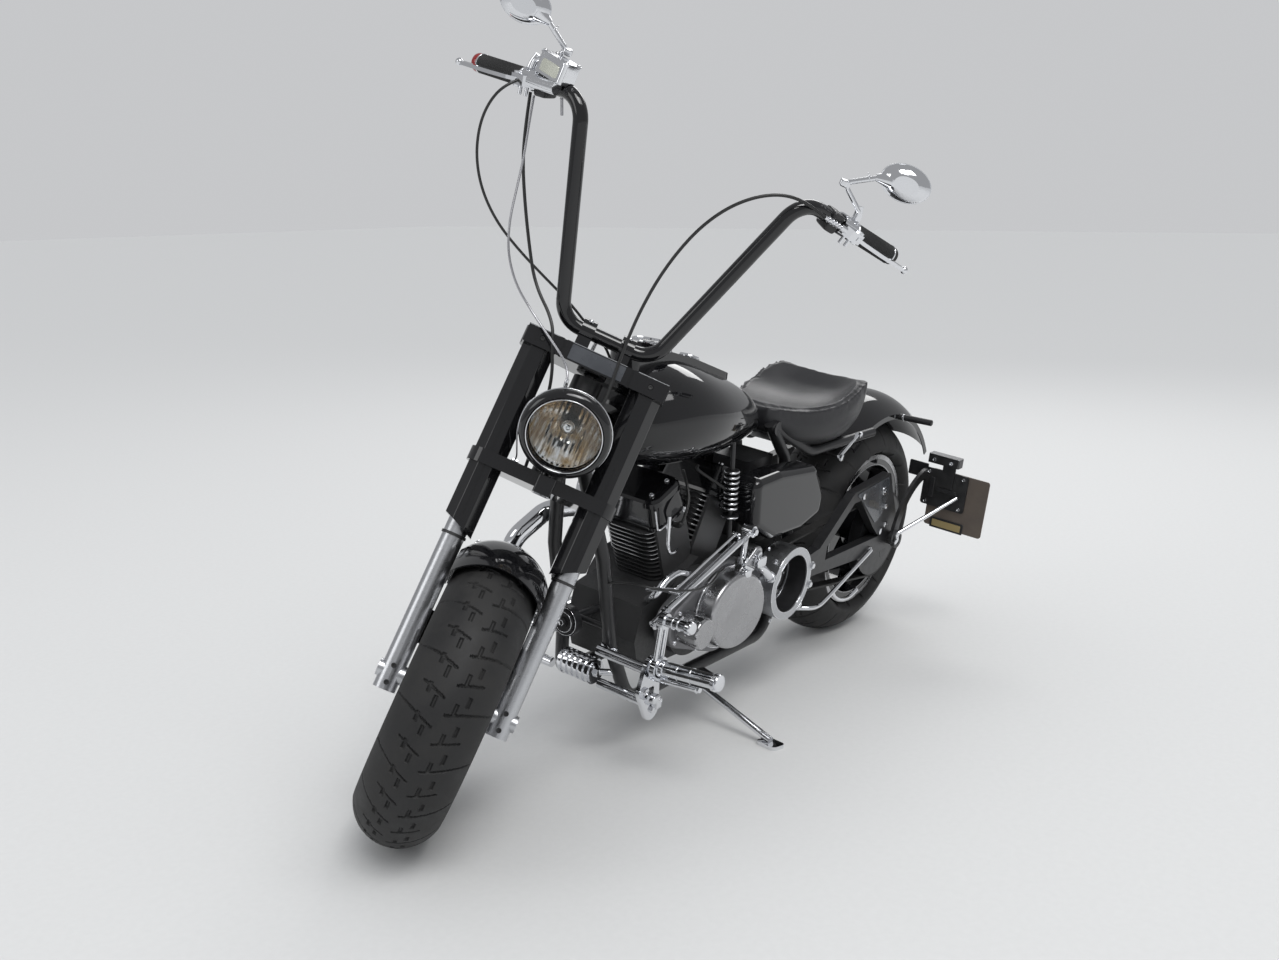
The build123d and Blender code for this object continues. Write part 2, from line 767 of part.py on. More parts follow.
# Rocker boxes: foot flange, tapered body and lid
# Columns: height of the layer's foot, its thickness, how much smaller than the flange, taper
rocker_low = barrel_low + fin_count * fin_pitch
rocker_layers = [
    (0, 8, 0, 0),
    (8, 52, 6, 6),
    (60, rocker_high - 66, 10, 8),
    (rocker_high - 6, 6, 14, 40),
]
with BuildPart() as rockers:
    for way in vee_axes:
        place = Plane(
            origin=crank + way * (rocker_low + seat_gap), x_dir=(way.Z, 0, -way.X), z_dir=way
        )
        for layer_foot, layer_thick, smaller, slant in rocker_layers:
            with BuildSketch(place.offset(layer_foot)):
                RectangleRounded(rocker_long - smaller, 2 * rocker_half - smaller, 30)
            extrude(amount=layer_thick, taper=slant)
pieces["rocker_boxes"] = rockers.part - vee_gap.part

# Pushrod tubes on the right
push_plane = -82.0
with BuildPart() as pushrods:
    for way in vee_axes:
        for shift in (-20, 20):
            foot = crank + way * (barrel_low - 10) + Vector(way.Z, 0, -way.X) * shift
            head = crank + way * rocker_low + Vector(way.Z, 0, -way.X) * shift
            add(rod((foot.X, push_plane, foot.Z), (head.X, push_plane, head.Z), 7))
pieces["pushrod_tubes"] = pushrods.part - case.part - barrels.part

# Left covers: primary case, egg cover, small round cap and pulley ring
egg = Vector(wheelbase - 807, 0, 346)
egg_long = 124.0
egg_high = 98.0
egg_turn = 15.0
egg_face = 214.0
cap_centre = Vector(wheelbase - 641, 0, 338)
cap_radius = 39.0
cap_notches = 12
primary_face = 166.0
with BuildPart() as primary:
    with BuildSketch(cross_plane((0, 0, 0), case_half + seat_gap)):
        with Locations((-egg.X, egg.Z)):
            Circle(118)
        with Locations((-cap_centre.X, cap_centre.Z)):
            Circle(56)
        with Locations((-front_pulley.X - 128, front_pulley.Z)):
            Circle(70)
        make_hull()
    extrude(amount=primary_face - case_half - seat_gap)
    fillet(primary.faces().sort_by(Axis.Y)[-1].edges(), radius=6)
pieces["primary_case"] = primary.part - ring(front_pulley, 0, front_pulley_radius + 44, 0, 300)
with BuildPart() as egg_cover:
    with BuildSketch(cross_plane(egg, primary_face + seat_gap)):
        Ellipse(egg_long + 6, egg_high + 6, rotation=-egg_turn)
    extrude(amount=6)
    with BuildSketch(cross_plane(egg, primary_face + seat_gap)):
        Ellipse(egg_long, egg_high, rotation=-egg_turn)
    extrude(amount=egg_face - primary_face, taper=4)
    fillet(egg_cover.faces().sort_by(Axis.Y)[-1].edges(), radius=10)
with BuildPart() as cap:
    with BuildSketch(cross_plane(cap_centre, primary_face + seat_gap)):
        Circle(cap_radius)
    extrude(amount=62)
    fillet(cap.faces().sort_by(Axis.Y)[-1].edges(), radius=7)
    with BuildSketch(cross_plane(cap_centre, primary_face + 30)):
        with PolarLocations(cap_radius + 1, cap_notches):
            Circle(4)
    extrude(amount=40, mode=Mode.SUBTRACT)
# Lever housing above the egg cover. Columns: distance behind the front axle, height, radius
housing_bosses = [(795, 401, 22), (847, 430, 26), (892, 468, 20)]
with BuildPart() as lever_housing:
    with BuildSketch(cross_plane((0, 0, 0), primary_face + seat_gap)):
        for behind, up, boss in housing_bosses:
            with Locations((-back(behind), up)):
                Circle(boss)
        make_hull()
    extrude(amount=30)
    fillet(lever_housing.faces().sort_by(Axis.Y)[-1].edges(), radius=6)
pieces["primary_covers"] = Part() + [egg_cover.part + (lever_housing.part - egg_cover.part), cap.part]
pulley_ring = 96.0
pulley_open = 77.0
pulley_near = belt_inner + belt_wide + 4
with BuildPart() as pulley_cover:
    add(ring(front_pulley, pulley_open, pulley_ring, pulley_near, 204))
    add(ring(front_pulley, front_pulley_radius - 26, pulley_ring, pulley_near, pulley_near + 5))
    with BuildSketch(cross_plane(front_pulley + Vector(pulley_ring, 0, 0), pulley_near)):
        Rectangle(30, 60)
    extrude(amount=primary_face - pulley_near)
    add(ring(front_pulley, 0, pulley_open, pulley_near + 5, 300), mode=Mode.SUBTRACT)
    # Bolt tab low at the rear and two lugs outside the swingarm
    add(ring(front_pulley + Vector(-66, 0, -76), 5, 17, pulley_near, 198))
    for up in (-26, 26):
        add(ring(front_pulley + Vector(-98, 0, up), 0, 12, arm_plane + arm_thick / 2 + 5, 204))
pieces["pulley_cover"] = pulley_cover.part - pieces["primary_case"]

# Exhaust on the right: two pipes from the ports to a pair of straight mufflers
pipe_radius = 22.0
muffler_radius = 42.0
outlet_radius = 34.0
outlet_deep = 60.0
low_outlet = (60, -232, rear_radius - 45)
high_outlet = (-60, -244, rear_radius + 71)
with BuildPart() as exhaust:
    add(
        tube(
            [
                (back(612), -60, 585),
                (back(428), -104, 590),
                (back(355), -140, 520),
                (back(410), -172, 420),
                (back(570), -196, 262),
                (back(830), -214, 236),
                (back(1090), -222, 250),
            ],
            [50, 55, 55, 90, 120],
            pipe_radius,
        )
    )
    add(rod((back(1080), -222, 249.5), low_outlet, muffler_radius))
    add(
        tube(
            [
                (back(915), -56, 566),
                (back(1000), -120, 540),
                (back(1050), -206, 440),
                (back(1130), -236, 372),
                (back(1250), -240, 372),
            ],
            [40, 50, 40],
            pipe_radius,
        )
    )
    add(rod((back(1240), -240, 372), high_outlet, muffler_radius))
    # Open ends
    for start, end in (((back(1080), -222, 249.5), low_outlet), ((back(1240), -240, 372), high_outlet)):
        way = (Vector(end) - Vector(start)).normalized()
        outlet = rod(tuple(Vector(end) - way * outlet_deep), tuple(Vector(end) + way), outlet_radius)
        add(outlet, mode=Mode.SUBTRACT)
pieces["exhaust"] = exhaust.part - case.part - rockers.part - frame.part - barrels.part

# Air cleaner and carburettor on the right
with BuildPart() as cleaner:
    with BuildSketch(cross_plane((crank.X, 0, 545), -232)):
        Circle(86)
    extrude(amount=58)
    fillet(cleaner.faces().sort_by(Axis.Y)[0].edges(), radius=12)
with BuildPart() as carb:
    with BuildSketch(cross_plane((crank.X, 0, 545), -232 + 58)):
        RectangleRounded(60, 64, 12)
    extrude(amount=130)
pieces["air_cleaner"] = cleaner.part + (carb.part - rockers.part - barrels.part - pushrods.part - frame.part)

# Belt with its small pulley
def belt_loop(thick):
    """Outline of the belt round both pulleys, thicker by the given amount."""
    with BuildPart(mode=Mode.PRIVATE) as solid:
        with BuildSketch(cross_plane((0, 0, 0), belt_inner)):
            with Locations((0, rear_axle_point.Z)):
                Circle(rear_pulley_radius + thick)
            with Locations((-front_pulley.X, front_pulley.Z)):
                Circle(front_pulley_radius + thick)
            make_hull()
        extrude(amount=belt_wide)
    return solid.part


pieces["drive_belt"] = belt_loop(running_gap + belt_thick) - belt_loop(running_gap)
pieces["crankcase"] += ring(front_pulley, 0, front_pulley_radius, belt_inner, belt_inner + belt_wide)

# Rear wheel
rear_hub_half = 104.0
rear_axle_radius = 12.5
rear_rim_half = 82.0
pieces["rear_tyre"] = tyre(
    rear_axle_point, rear_radius, rear_width, rear_crown, rear_rim_half - 8 - seat_gap
)
pieces["rear_wheel"] = cast_wheel(
    rear_axle_point, rear_rim_half, rear_hub_half, 18, rear_axle_radius + running_gap, 5
)
pieces["rear_pulley"] = ring(
    rear_axle_point,
    rear_axle_radius + running_gap,
    rear_pulley_radius,
    rear_hub_half,
    belt_inner + belt_wide,
)
pieces["rear_disc"] = ring(
    rear_axle_point, rear_axle_radius + running_gap, disc_radius, -rear_hub_half - 6, -rear_hub_half
)

# Swingarm with its truss, pivot tube and axle
arm_inner = arm_plane - arm_thick / 2
arm_outer = arm_plane + arm_thick / 2
arm_outline = [
    (pivot.X + 38, pivot.Z + 30),
    (pivot.X - 48, pivot.Z + 42),
    (270, rear_radius + 187),
    (60, rear_radius + 207),
    (-34, rear_radius + 43),
    (-40, rear_radius - 27),
    (60, rear_radius - 31),
    (pivot.X - 48, pivot.Z - 32),
    (pivot.X + 38, pivot.Z - 30),
]
arm_window = [
    (pivot.X - 88, pivot.Z + 38),
    (262, rear_radius + 157),
    (225, rear_radius + 157),
    (120, rear_radius + 55),
    (76, rear_radius + 21),
    (pivot.X - 88, pivot.Z),
]
spool_hole = Vector(90, 0, rear_radius + 161)
spool_radius = 4.0
spool_deep = 18.0
with BuildPart() as arm:
    for side in (-1, 1):
        add(plate(arm_outline, side * arm_inner, side * arm_outer))
        add(plate(arm_window, side * (arm_inner - 1), side * (arm_outer + 1)), mode=Mode.SUBTRACT)
    add(rod((pivot.X, -arm_outer, pivot.Z), (pivot.X, arm_outer, pivot.Z), 27))
    add(rod((0, -arm_outer - 22, rear_radius), (0, arm_outer + 22, rear_radius), rear_axle_radius))
    for side in (-1, 1):
        with BuildSketch(cross_plane(rear_axle_point, side * arm_outer)):
            RegularPolygon(19, 6)
        extrude(amount=side * 16)
        with BuildSketch(cross_plane(rear_axle_point, side * (belt_inner + belt_wide + 0.6))):
            Circle(22)
        extrude(amount=side * (arm_inner - belt_inner - belt_wide - 0.6))
    for side in (-1, 1):
        with BuildSketch(cross_plane(spool_hole, side * arm_outer)):
            Circle(spool_radius)
        extrude(amount=-side * spool_deep, mode=Mode.SUBTRACT)
pieces["swingarm"] = arm.part - frame.part - case.part

# Rear caliper under the right arm, on its lug
with BuildPart() as rear_caliper:
    caliper_foot = (150, -rear_hub_half - 8, rear_radius - 29)
    with BuildSketch(Plane(origin=caliper_foot, x_dir=(1, 0, 0), z_dir=(0, 0, 1))):
        RectangleRounded(60, 46, 8)
    extrude(amount=80)
    with BuildSketch(cross_plane(rear_axle_point, -rear_hub_half - 7.2)):
        Circle(disc_radius + 4)
    extrude(amount=8.4, mode=Mode.SUBTRACT)
    add(
        rod(
            (150, -rear_hub_half - 20, rear_radius - 3),
            (150, -arm_inner + seat_gap, rear_radius - 3),
            14,
        )
    )
pieces["rear_caliper"] = (
    rear_caliper.part - arm.part - ring(rear_axle_point, 0, rear_pulley_radius - 5, -82, 0)
)

# Fuel tank: elliptical sections from nose to tail, with a tunnel for the backbone
# Columns: distance behind the front axle, half width, lowest, highest
tank_sections = [
    (474, 54, 782, 858),
    (512, 116, 726, 906),
    (610, 160, 700, 946),
    (750, 162, 694, 922),
    (900, 122, 696, 872),
    (1030, 66, 706, 808),
    (1078, 30, 722, 780),
]
with BuildPart() as tank:
    for behind, half, low, high in tank_sections:
        tank_middle = (back(behind), 0, (low + high) / 2)
        with BuildSketch(Plane(origin=tank_middle, x_dir=(0, 1, 0), z_dir=(1, 0, 0))):
            Ellipse(half, (high - low) / 2)
    loft()
    with BuildSketch(Plane(origin=(back(1150), 0, 0), x_dir=(0, 1, 0), z_dir=(1, 0, 0))):
        with Locations((0, 700)):
            SlotCenterToCenter(220, 2 * (backbone_radius + 4), rotation=90)
    extrude(amount=800, mode=Mode.SUBTRACT)
pieces["fuel_tank"] = tank.part - frame.part - rockers.part

# Dash console with its round instrument and filler caps along the tank's top
with BuildPart() as console:
    with BuildSketch(Plane(origin=(back(710), 0, 860), x_dir=(1, 0, 0), z_dir=(0, 0, 1))):
        SlotCenterToCenter(360, 74)
    extrude(amount=110)
with BuildPart() as console_top:
    with BuildSketch(Plane.XZ.offset(-60)):
        with BuildLine():
            Polyline(
                (back(550), 978),
                (back(600), 976),
                (back(750), 936),
                (back(1040), 838),
                (back(1040), 1100),
                (back(550), 1100),
                close=True,
            )
        make_face()
    extrude(amount=120)
dash_plane = Plane(origin=(back(620), 0, 966), x_dir=(1, 0, 0.12), z_dir=(-0.12, 0, 1))
with BuildPart() as dial:
    with BuildSketch(dash_plane):
        Circle(46)
    extrude(amount=14)
pieces["tank_console"] = (console.part - console_top.part + dial.part) - tank.part

# Saddle: narrow nose, dish and raised back
# Columns: distance behind the front axle, half width, foot, side's top edge, middle of the top
seat_sections = [
    (1086, 45, 742, 784, 786),
    (1110, 75, 706, 783, 778),
    (1170, 110, 672, 774, 762),
    (1250, 143, 654, 776, 752),
    (1330, 158, 648, 792, 754),
    (1400, 155, 650, 816, 776),
    (1465, 138, 668, 828, 816),
    (1494, 100, 706, 812, 808),
]
seat_foot_share = 0.8
seat_edge_share = 0.86
with BuildPart() as saddle:
    for behind, half, low, edge_top, dish in seat_sections:
        with BuildSketch(Plane(origin=(back(behind), 0, 0), x_dir=(0, 1, 0), z_dir=(1, 0, 0))):
            with BuildLine():
                foot_left = (half * seat_foot_share, low)
                foot_right = (-half * seat_foot_share, low)
                edge_left = (half * seat_edge_share, edge_top)
                edge_right = (-half * seat_edge_share, edge_top)
                side_height = low + 0.55 * (edge_top - low)
                Line(foot_right, foot_left)
                ThreePointArc(foot_left, (half, side_height), edge_left)
                ThreePointArc(edge_left, (0, dish), edge_right)
                ThreePointArc(edge_right, (-half, side_height), foot_right)
            make_face()
    loft()

# Rear mudguard
rear_guard_gap = 74.0
rear_guard_half = 117.0
rear_guard_inner = rear_radius + rear_guard_gap
with BuildPart() as rear_guard:
    add(
        arched(rear_axle_point, rear_guard_inner, 3, rear_guard_half, 50, 12, 54, 146)
    )
pieces["rear_mudguard"] = rear_guard.part - frame.part
seat_shape = saddle.part - frame.part - tank.part - rear_guard.part
pieces["seat"] = Part() + seat_shape.solids().sort_by(SortBy.VOLUME)[-1]

# Side covers, pegged to the battery box between the seat tubes
battery_half = 54.0
# Columns: distance behind the front axle, height
side_outline = [
    (874, 650), (990, 655), (1170, 640), (1228, 560), (1224, 500), (1130, 474), (990, 476), (892, 530),
]
side_pegs = [(1130, 560), (1050, 600)]
with BuildPart() as side_cover:
    with BuildSketch(Plane(origin=(0, 118, 0), x_dir=(1, 0, 0), z_dir=(0, -1, 0))):
        with BuildLine():
            Polyline(*[(back(behind), up) for behind, up in side_outline], close=True)
        make_face()
        fillet(vertices(), radius=26)
    extrude(amount=-60)
    fillet(side_cover.faces().sort_by(Axis.Y)[-1].edges(), radius=20)
    for behind, up in side_pegs:
        add(rod((back(behind), 122, up), (back(behind), battery_half + seat_gap, up), 7))
pieces["side_covers"] = Part() + [
    side_cover.part - frame.part - saddle.part,
    mirrored(side_cover.part) - frame.part - saddle.part - exhaust.part,
]
with BuildPart() as battery:
    with BuildSketch(Plane(origin=(back(1090), 0, 437), x_dir=(1, 0, 0), z_dir=(0, 0, 1))):
        RectangleRounded(130, 2 * battery_half, 10)
    extrude(amount=205)
pieces["battery_box"] = battery.part - rockers.part - barrels.part - frame.part

# Coil spring strut under the left of the tank
strut_top = Vector(wheelbase - 840, 112, 768)
strut_low = Vector(wheelbase - 862, 130, 440)
strut_way = (strut_low - strut_top).normalized()
with BuildPart() as strut:
    add(rod(tuple(strut_top), tuple(strut_low), 6))
    for n in range(8):
        with BuildSketch(Plane(origin=strut_top + strut_way * (98 + n * 13), z_dir=strut_way)):
            Circle(18)
        extrude(amount=7)
    with BuildSketch(Plane(origin=strut_top + strut_way * 212, z_dir=strut_way)):
        Circle(21)
    extrude(amount=5)
pieces["spring_strut"] = (
    strut.part - tank.part - side_cover.part - primary.part - rockers.part - barrels.part
)

# Forward controls: bracket plate with peg each side, on two tubes from the frame
peg_ahead = wheelbase - 450
peg_height = 318.0
peg_inner = 246.0
peg_outer = 390.0
peg_radius = 17.0
bracket_inner = 212.0
bracket_outer = 222.0
# Columns: distance behind the front axle, height, radius
bracket_bosses = [(446, 312, 28), (426, 262, 22), (462, 206, 26)]
bracket_tubes = [(446, 302), (464, 214)]
with BuildPart() as control:
    with BuildSketch(cross_plane((0, 0, 0), bracket_inner)):
        for behind, up, boss in bracket_bosses:
            with Locations((-back(behind), up)):
                Circle(boss)
        make_hull()
        with Locations((-back(450), 252)):
            RectangleRounded(22, 26, 4, mode=Mode.SUBTRACT)
    extrude(amount=bracket_outer - bracket_inner)
    for behind, up in bracket_tubes:
        add(rod((back(behind), down_half, up), (back(behind), bracket_inner + 2, up), 12))
    add(rod((back(486), 60, 300), (back(460), 100, 300), 12))
    add(rod((peg_ahead, bracket_outer - 4, peg_height - 4), (peg_ahead, peg_inner, peg_height), 20))
    add(rod((peg_ahead, peg_inner - 4, peg_height), (peg_ahead, peg_outer, peg_height + 18), peg_radius))
    for left, rise in ((peg_inner, 0), (peg_outer - 10, 17)):
        add(ring((peg_ahead, 0, peg_height + rise), 0, 20, left, left + 8))
pieces["foot_controls"] = Part() + [
    control.part - frame.part,
    mirrored(control.part) - frame.part - exhaust.part,
]
toe_height = 430.0
hub_inner = bracket_outer + 6
arm_left = hub_inner + 8
with BuildPart() as shifter:
    add(ring((peg_ahead, 0, peg_height - 3), 20 + seat_gap + 1, 28, hub_inner, hub_inner + 12))
    for shift in (-10, 10):
        add(
            rod(
                (peg_ahead + 4 + shift, arm_left - 2, peg_height + 20),
                (peg_ahead + 4 + shift, arm_left + 2, toe_height - 2),
                6,
            )
        )
    add(ring((peg_ahead + 4, 0, toe_height), 0, 18, arm_left - 6, arm_left + 8))
    add(rod((peg_ahead + 4, arm_left, toe_height), (peg_ahead + 8, 312, toe_height + 8), 12))
    add(ring((peg_ahead + 7, 0, toe_height + 6), 0, 15, 300, 308))
pieces["foot_pedals"] = Part() + [
    shifter.part - control.part,
    mirrored(shifter.part) - mirrored(control.part) - exhaust.part,
]
link_left = 210.0
link_rear = (back(818), link_left, 548)
with BuildPart() as rods:
    add(rod((peg_ahead + 10, link_left, 414), link_rear, 7))
    add(rod((peg_ahead + 10, link_left, 414), (peg_ahead + 10, arm_left, 414), 6))
    with BuildSketch(Plane(origin=(link_rear[0], 190, link_rear[2]), x_dir=(1, 0, 0), z_dir=(0, 1, 0))):
        Circle(14)
    extrude(amount=27)
    add(rod((link_rear[0], 196, link_rear[2]), (back(844), 180, 462), 8))
    add(rod((back(844), 180, 470), (back(844), 180, 452), 12))
pieces["shift_rods"] = (
    rods.part - shifter.part - primary.part - pieces["primary_covers"] - case.part - frame.part
)

# Horn and ribbed canister between the downtubes
horn_left = -14.0
horn_height = 350.0
with BuildPart() as horn:
    for horn_back, horn_radius, horn_deep in ((440, 36, 20), (420, 29, 5), (415, 11, 4)):
        with BuildSketch(
            Plane(origin=(back(horn_back), horn_left, horn_height), x_dir=(0, 1, 0), z_dir=(1, 0, 0))
        ):
            Circle(horn_radius)
        extrude(amount=horn_deep)
    add(rod((back(439), horn_left, horn_height), (back(540), horn_left, horn_height), 10))
    add(rod((back(468), -down_half, horn_height), (back(468), down_half, horn_height), 7))
pieces["horn"] = horn.part - case.part - frame.part
canister_centre = Vector(wheelbase - 478, 0, 228)
with BuildPart() as canister:
    add(ring(canister_centre, 0, 27, -49, 49))
    for n in range(6):
        add(ring(canister_centre, 0, 31, -44 + n * 16, -36 + n * 16))
    for side in (1, -1):
        add(
            rod(
                (canister_centre.X, side * 44, canister_centre.Z),
                (canister_centre.X - 36, side * 84, canister_centre.Z),
                8,
            )
        )
pieces["ribbed_canister"] = canister.part - frame.part

# Number plate carrier on the left end of the axle: curved flat arm and backing plate
holder_left = 188.0
holder_thick = 10.0
holder_end = -146.0
plate_centre = Vector(-152, 298, rear_radius + 111)
plate_wide = 180.0
plate_high = 172.0
with BuildPart() as holder:
    with BuildSketch(Plane(origin=(0, holder_left, 0), x_dir=(1, 0, 0), z_dir=(0, -1, 0))):
        with BuildLine():
            outer_foot = (36, rear_radius + 8)
            inner_foot = (4, rear_radius + 8)
            outer_end = (holder_end, rear_radius + 196)
            inner_end = (holder_end, rear_radius + 168)
            ThreePointArc(outer_foot, (-22, rear_radius + 134), outer_end)
            Line(outer_end, inner_end)
            ThreePointArc(inner_end, (-40, rear_radius + 112), inner_foot)
            Line(inner_foot, outer_foot)
        make_face()
    extrude(amount=-holder_thick)
    with BuildSketch(Plane(origin=(holder_end - 2, 0, rear_radius + 141), x_dir=(0, 1, 0), z_dir=(1, 0, 0))):
        with Locations((256, 0)):
            RectangleRounded(138, 112, 8)
    extrude(amount=5)
    with BuildSketch(cross_plane(rear_axle_point, arm_outer + 16 + 0.3)):
        Circle(24)
    extrude(amount=12)
    add(ring(rear_axle_point + Vector(16, 0, 12), 0, 22, arm_outer + 16 + 0.3, holder_left + holder_thick))
    with BuildSketch(cross_plane(rear_axle_point, arm_outer)):
        Circle(rear_axle_radius + seat_gap)
    extrude(amount=60, mode=Mode.SUBTRACT)
pieces["plate_carrier"] = holder.part - arm.part
with BuildPart() as number_plate:
    with BuildSketch(Plane(origin=plate_centre, x_dir=(0, 1, 0), z_dir=(1, 0, 0))):
        RectangleRounded(plate_wide, plate_high, 8)
    extrude(amount=3.7)
pieces["number_plate"] = number_plate.part - holder.part
with BuildPart() as tail:
    with BuildSketch(Plane(origin=(-154, 241, rear_radius + 214), x_dir=(1, 0, 0), z_dir=(0, 0, 1))):
        RectangleRounded(34, 97, 5)
    extrude(amount=26)
    tab_middle = (holder_end + 3, 262, rear_radius + 190)
    with BuildSketch(Plane(origin=tab_middle, x_dir=(0, 1, 0), z_dir=(1, 0, 0))):
        Rectangle(40, 80)
    extrude(amount=4)
pieces["tail_lamp"] = tail.part - holder.part - number_plate.part

# Stubby rod indicators on the mudguard's sides
with BuildPart() as signals:
    for side in (1, -1):
        add(rod((-60, side * 112, rear_radius + 343), (-64, side * 214, rear_radius + 347), 9))
pieces["rear_indicators"] = signals.part - rear_guard.part

# Control cables and hose, held at both ends. Each has its radius, its points behind the front
# axle, to the left and up, and the nodes that its ends run into
cables = {
    "throttle": (3.0, [
        (505.8, -383, 1413.8), (486, -404, 1396), (476, -420, 1352), (470, -420, 1300),
        (464, -402, 1240), (458, -366, 1184), (454, -312, 1136), (452, -246, 1101),
        (450, -176, 1072), (449, -104, 1044), (449, -42, 1010), (440, 12, 988), (429, 37, 956),
    ]),
    "lamp": (2.5, [
        (526, -345, 1394), (504, -330, 1338), (478, -312, 1278), (444, -298, 1220),
        (408, -284, 1162), (386, -260, 1104), (374, -220, 1054), (364, -170, 1020),
        (336, -124, 1000), (304, -82, 984), (276, -56, 974), (252, -41, 956), (246, -37, 936),
    ]),
    "brake_hose": (3.5, [
        (532, -355, 1396), (510, -338, 1338), (486, -312, 1268), (462, -274, 1198),
        (440, -232, 1128), (418, -186, 1058), (358, -118, 1020), (330, -98, 978),
        (320, -74, 926), (314, -62, 868), (296, -56, 818), (262, -50, 780), (232, -46, 748),
    ]),
    "clutch": (3.5, [
        (459, 302, 1433), (446, 256, 1446), (434, 206, 1444), (424, 158, 1420),
        (414, 114, 1378), (404, 80, 1322), (396, 58, 1258), (388, 44, 1190),
        (380, 38, 1120), (368, 38, 1056), (344, 42, 1000), (322, 46, 956),
        (302, 48, 922), (286, 44, 886),
    ]),
}
bend_share = 0.45
cable_ends = [
    "clutch_lever", "brake_lever", "grips", "handlebar", "fork_clamps", "fork_covers", "headlight_shell",
]
cable_runs = []
for name, (cable_radius, stations) in cables.items():
    places = [Vector(back(behind), left, up) for behind, left, up in stations]
    bends = []
    for before, corner, after in zip(places, places[1:], places[2:]):
        first_run = corner - before
        second_run = after - corner
        half_turn = radians(first_run.get_angle(second_run)) / 2
        bends.append(bend_share * min(first_run.length, second_run.length) / tan(half_turn))
    run = tube([tuple(place) for place in places], bends, cable_radius)
    print(name, "bend radii", [round(bend) for bend in bends], "volume", round(run.volume))
    for neighbour in cable_ends:
        run = run - pieces[neighbour]
    cable_runs.append(run.solids().sort_by(SortBy.VOLUME)[-1])
pieces["control_cables"] = Part() + cable_runs

# Lean, steer and stand: the machine is pitched so that both tyres touch the floor
def turned(vector, origin, way, angle):
    """A point turned about an axis through an origin."""
    base = Vector(origin)
    return base + (Vector(vector) - base).rotate(Axis((0, 0, 0), way), angle)


steer_foot = (wheelbase + trail, 0, 0)
steer_way = (-sin(radians(rake)), 0, cos(radians(rake)))
steered = Plane(
    origin=turned((0, 0, 0), steer_foot, steer_way, stop_angle),
    x_dir=turned((1, 0, 0), (0, 0, 0), steer_way, stop_angle),
    z_dir=turned((0, 0, 1), (0, 0, 0), steer_way, stop_angle),
)


def leaned(pitch, height):
    """Frame of the leaning machine."""
    def tilt(way):
        return turned(turned(way, (0, 0, 0), (0, 1, 0), pitch), (0, 0, 0), (1, 0, 0), -lean)

    return Plane(origin=(0, 0, height), x_dir=tilt((1, 0, 0)), z_dir=tilt((0, 0, 1)))


def lowest(place, centre, way, radius, crown):
    """Lowest point of a round crowned tyre."""
    middle = place.from_local_coords(Vector(centre))
    cross = place.from_local_coords(Vector(way)) - place.origin
    return middle.Z - (radius - crown) * sqrt(1 - cross.Z**2) - crown


turned_axle = steered.from_local_coords(front_axle_point)
turned_cross = turned((0, 1, 0), (0, 0, 0), steer_way, stop_angle)


def tyre_step(pitch):
    """How much higher the front tyre's lowest point is than the rear one's."""
    place = leaned(pitch, 0)
    front = lowest(place, turned_axle, turned_cross, front_radius, front_crown)
    return front - lowest(place, rear_axle_point, (0, 1, 0), rear_radius, rear_crown)


low_pitch = -3.0
high_pitch = 3.0
for _ in range(40):
    middle_pitch = (low_pitch + high_pitch) / 2
    if tyre_step(middle_pitch) > 0:
        low_pitch = middle_pitch
    else:
        high_pitch = middle_pitch
floor_height = -lowest(leaned(low_pitch, 0), rear_axle_point, (0, 1, 0), rear_radius, rear_crown)
box_middle_ahead = wheelbase - 872
box_middle_left = 187.0
level = leaned(low_pitch, floor_height)
parked = Plane(
    origin=level.origin - Vector(box_middle_ahead, box_middle_left, 0),
    x_dir=level.x_dir,
    z_dir=level.z_dir,
)

# Side stand, drawn straight on the floor: flat foot, leg and eye on its pivot
stand_pivot = Vector(wheelbase - 818, 120, 118)
stand_way = Vector(-0.05, 0.2, 0.978).normalized()
stand_foot = Vector(back(772) - box_middle_ahead, 372 - box_middle_left, 0)
eye = parked.from_local_coords(stand_pivot)
eye_way = parked.from_local_coords(stand_way) - parked.origin
foot_thick = 9.0
eye_radius = 20.0
eye_half = 10.0
pin_radius = 7.5
with BuildPart() as stand:
    with BuildSketch(Plane(origin=stand_foot, x_dir=(0.3, 1, 0), z_dir=(0, 0, 1))):
        RectangleRounded(64, 40, 12)
    extrude(amount=foot_thick)
    add(rod(tuple(eye), tuple(stand_foot + Vector(0, 0, foot_thick + 4)), 9))
    with BuildSketch(Plane(origin=eye - eye_way * eye_half, z_dir=eye_way)):
        Circle(eye_radius)
    extrude(amount=2 * eye_half)
    with BuildSketch(Plane(origin=eye - eye_way * (eye_half + 1), z_dir=eye_way)):
        Circle(pin_radius + running_gap)
    extrude(amount=2 * eye_half + 2, mode=Mode.SUBTRACT)
with BuildPart() as stand_bracket:
    with BuildSketch(Plane(origin=stand_pivot + stand_way * (eye_half + running_gap), z_dir=stand_way)):
        Circle(eye_radius)
        Rectangle(40, 60)
    extrude(amount=20)
    with BuildSketch(Plane(origin=stand_pivot - stand_way * (eye_half + 6), z_dir=stand_way)):
        Circle(pin_radius)
    extrude(amount=2 * eye_half + 10)
    with BuildSketch(Plane(origin=stand_pivot - stand_way * (eye_half + 6), z_dir=stand_way)):
        Circle(pin_radius + 5)
    extrude(amount=6 - running_gap)
pieces["main_frame"] += stand_bracket.part

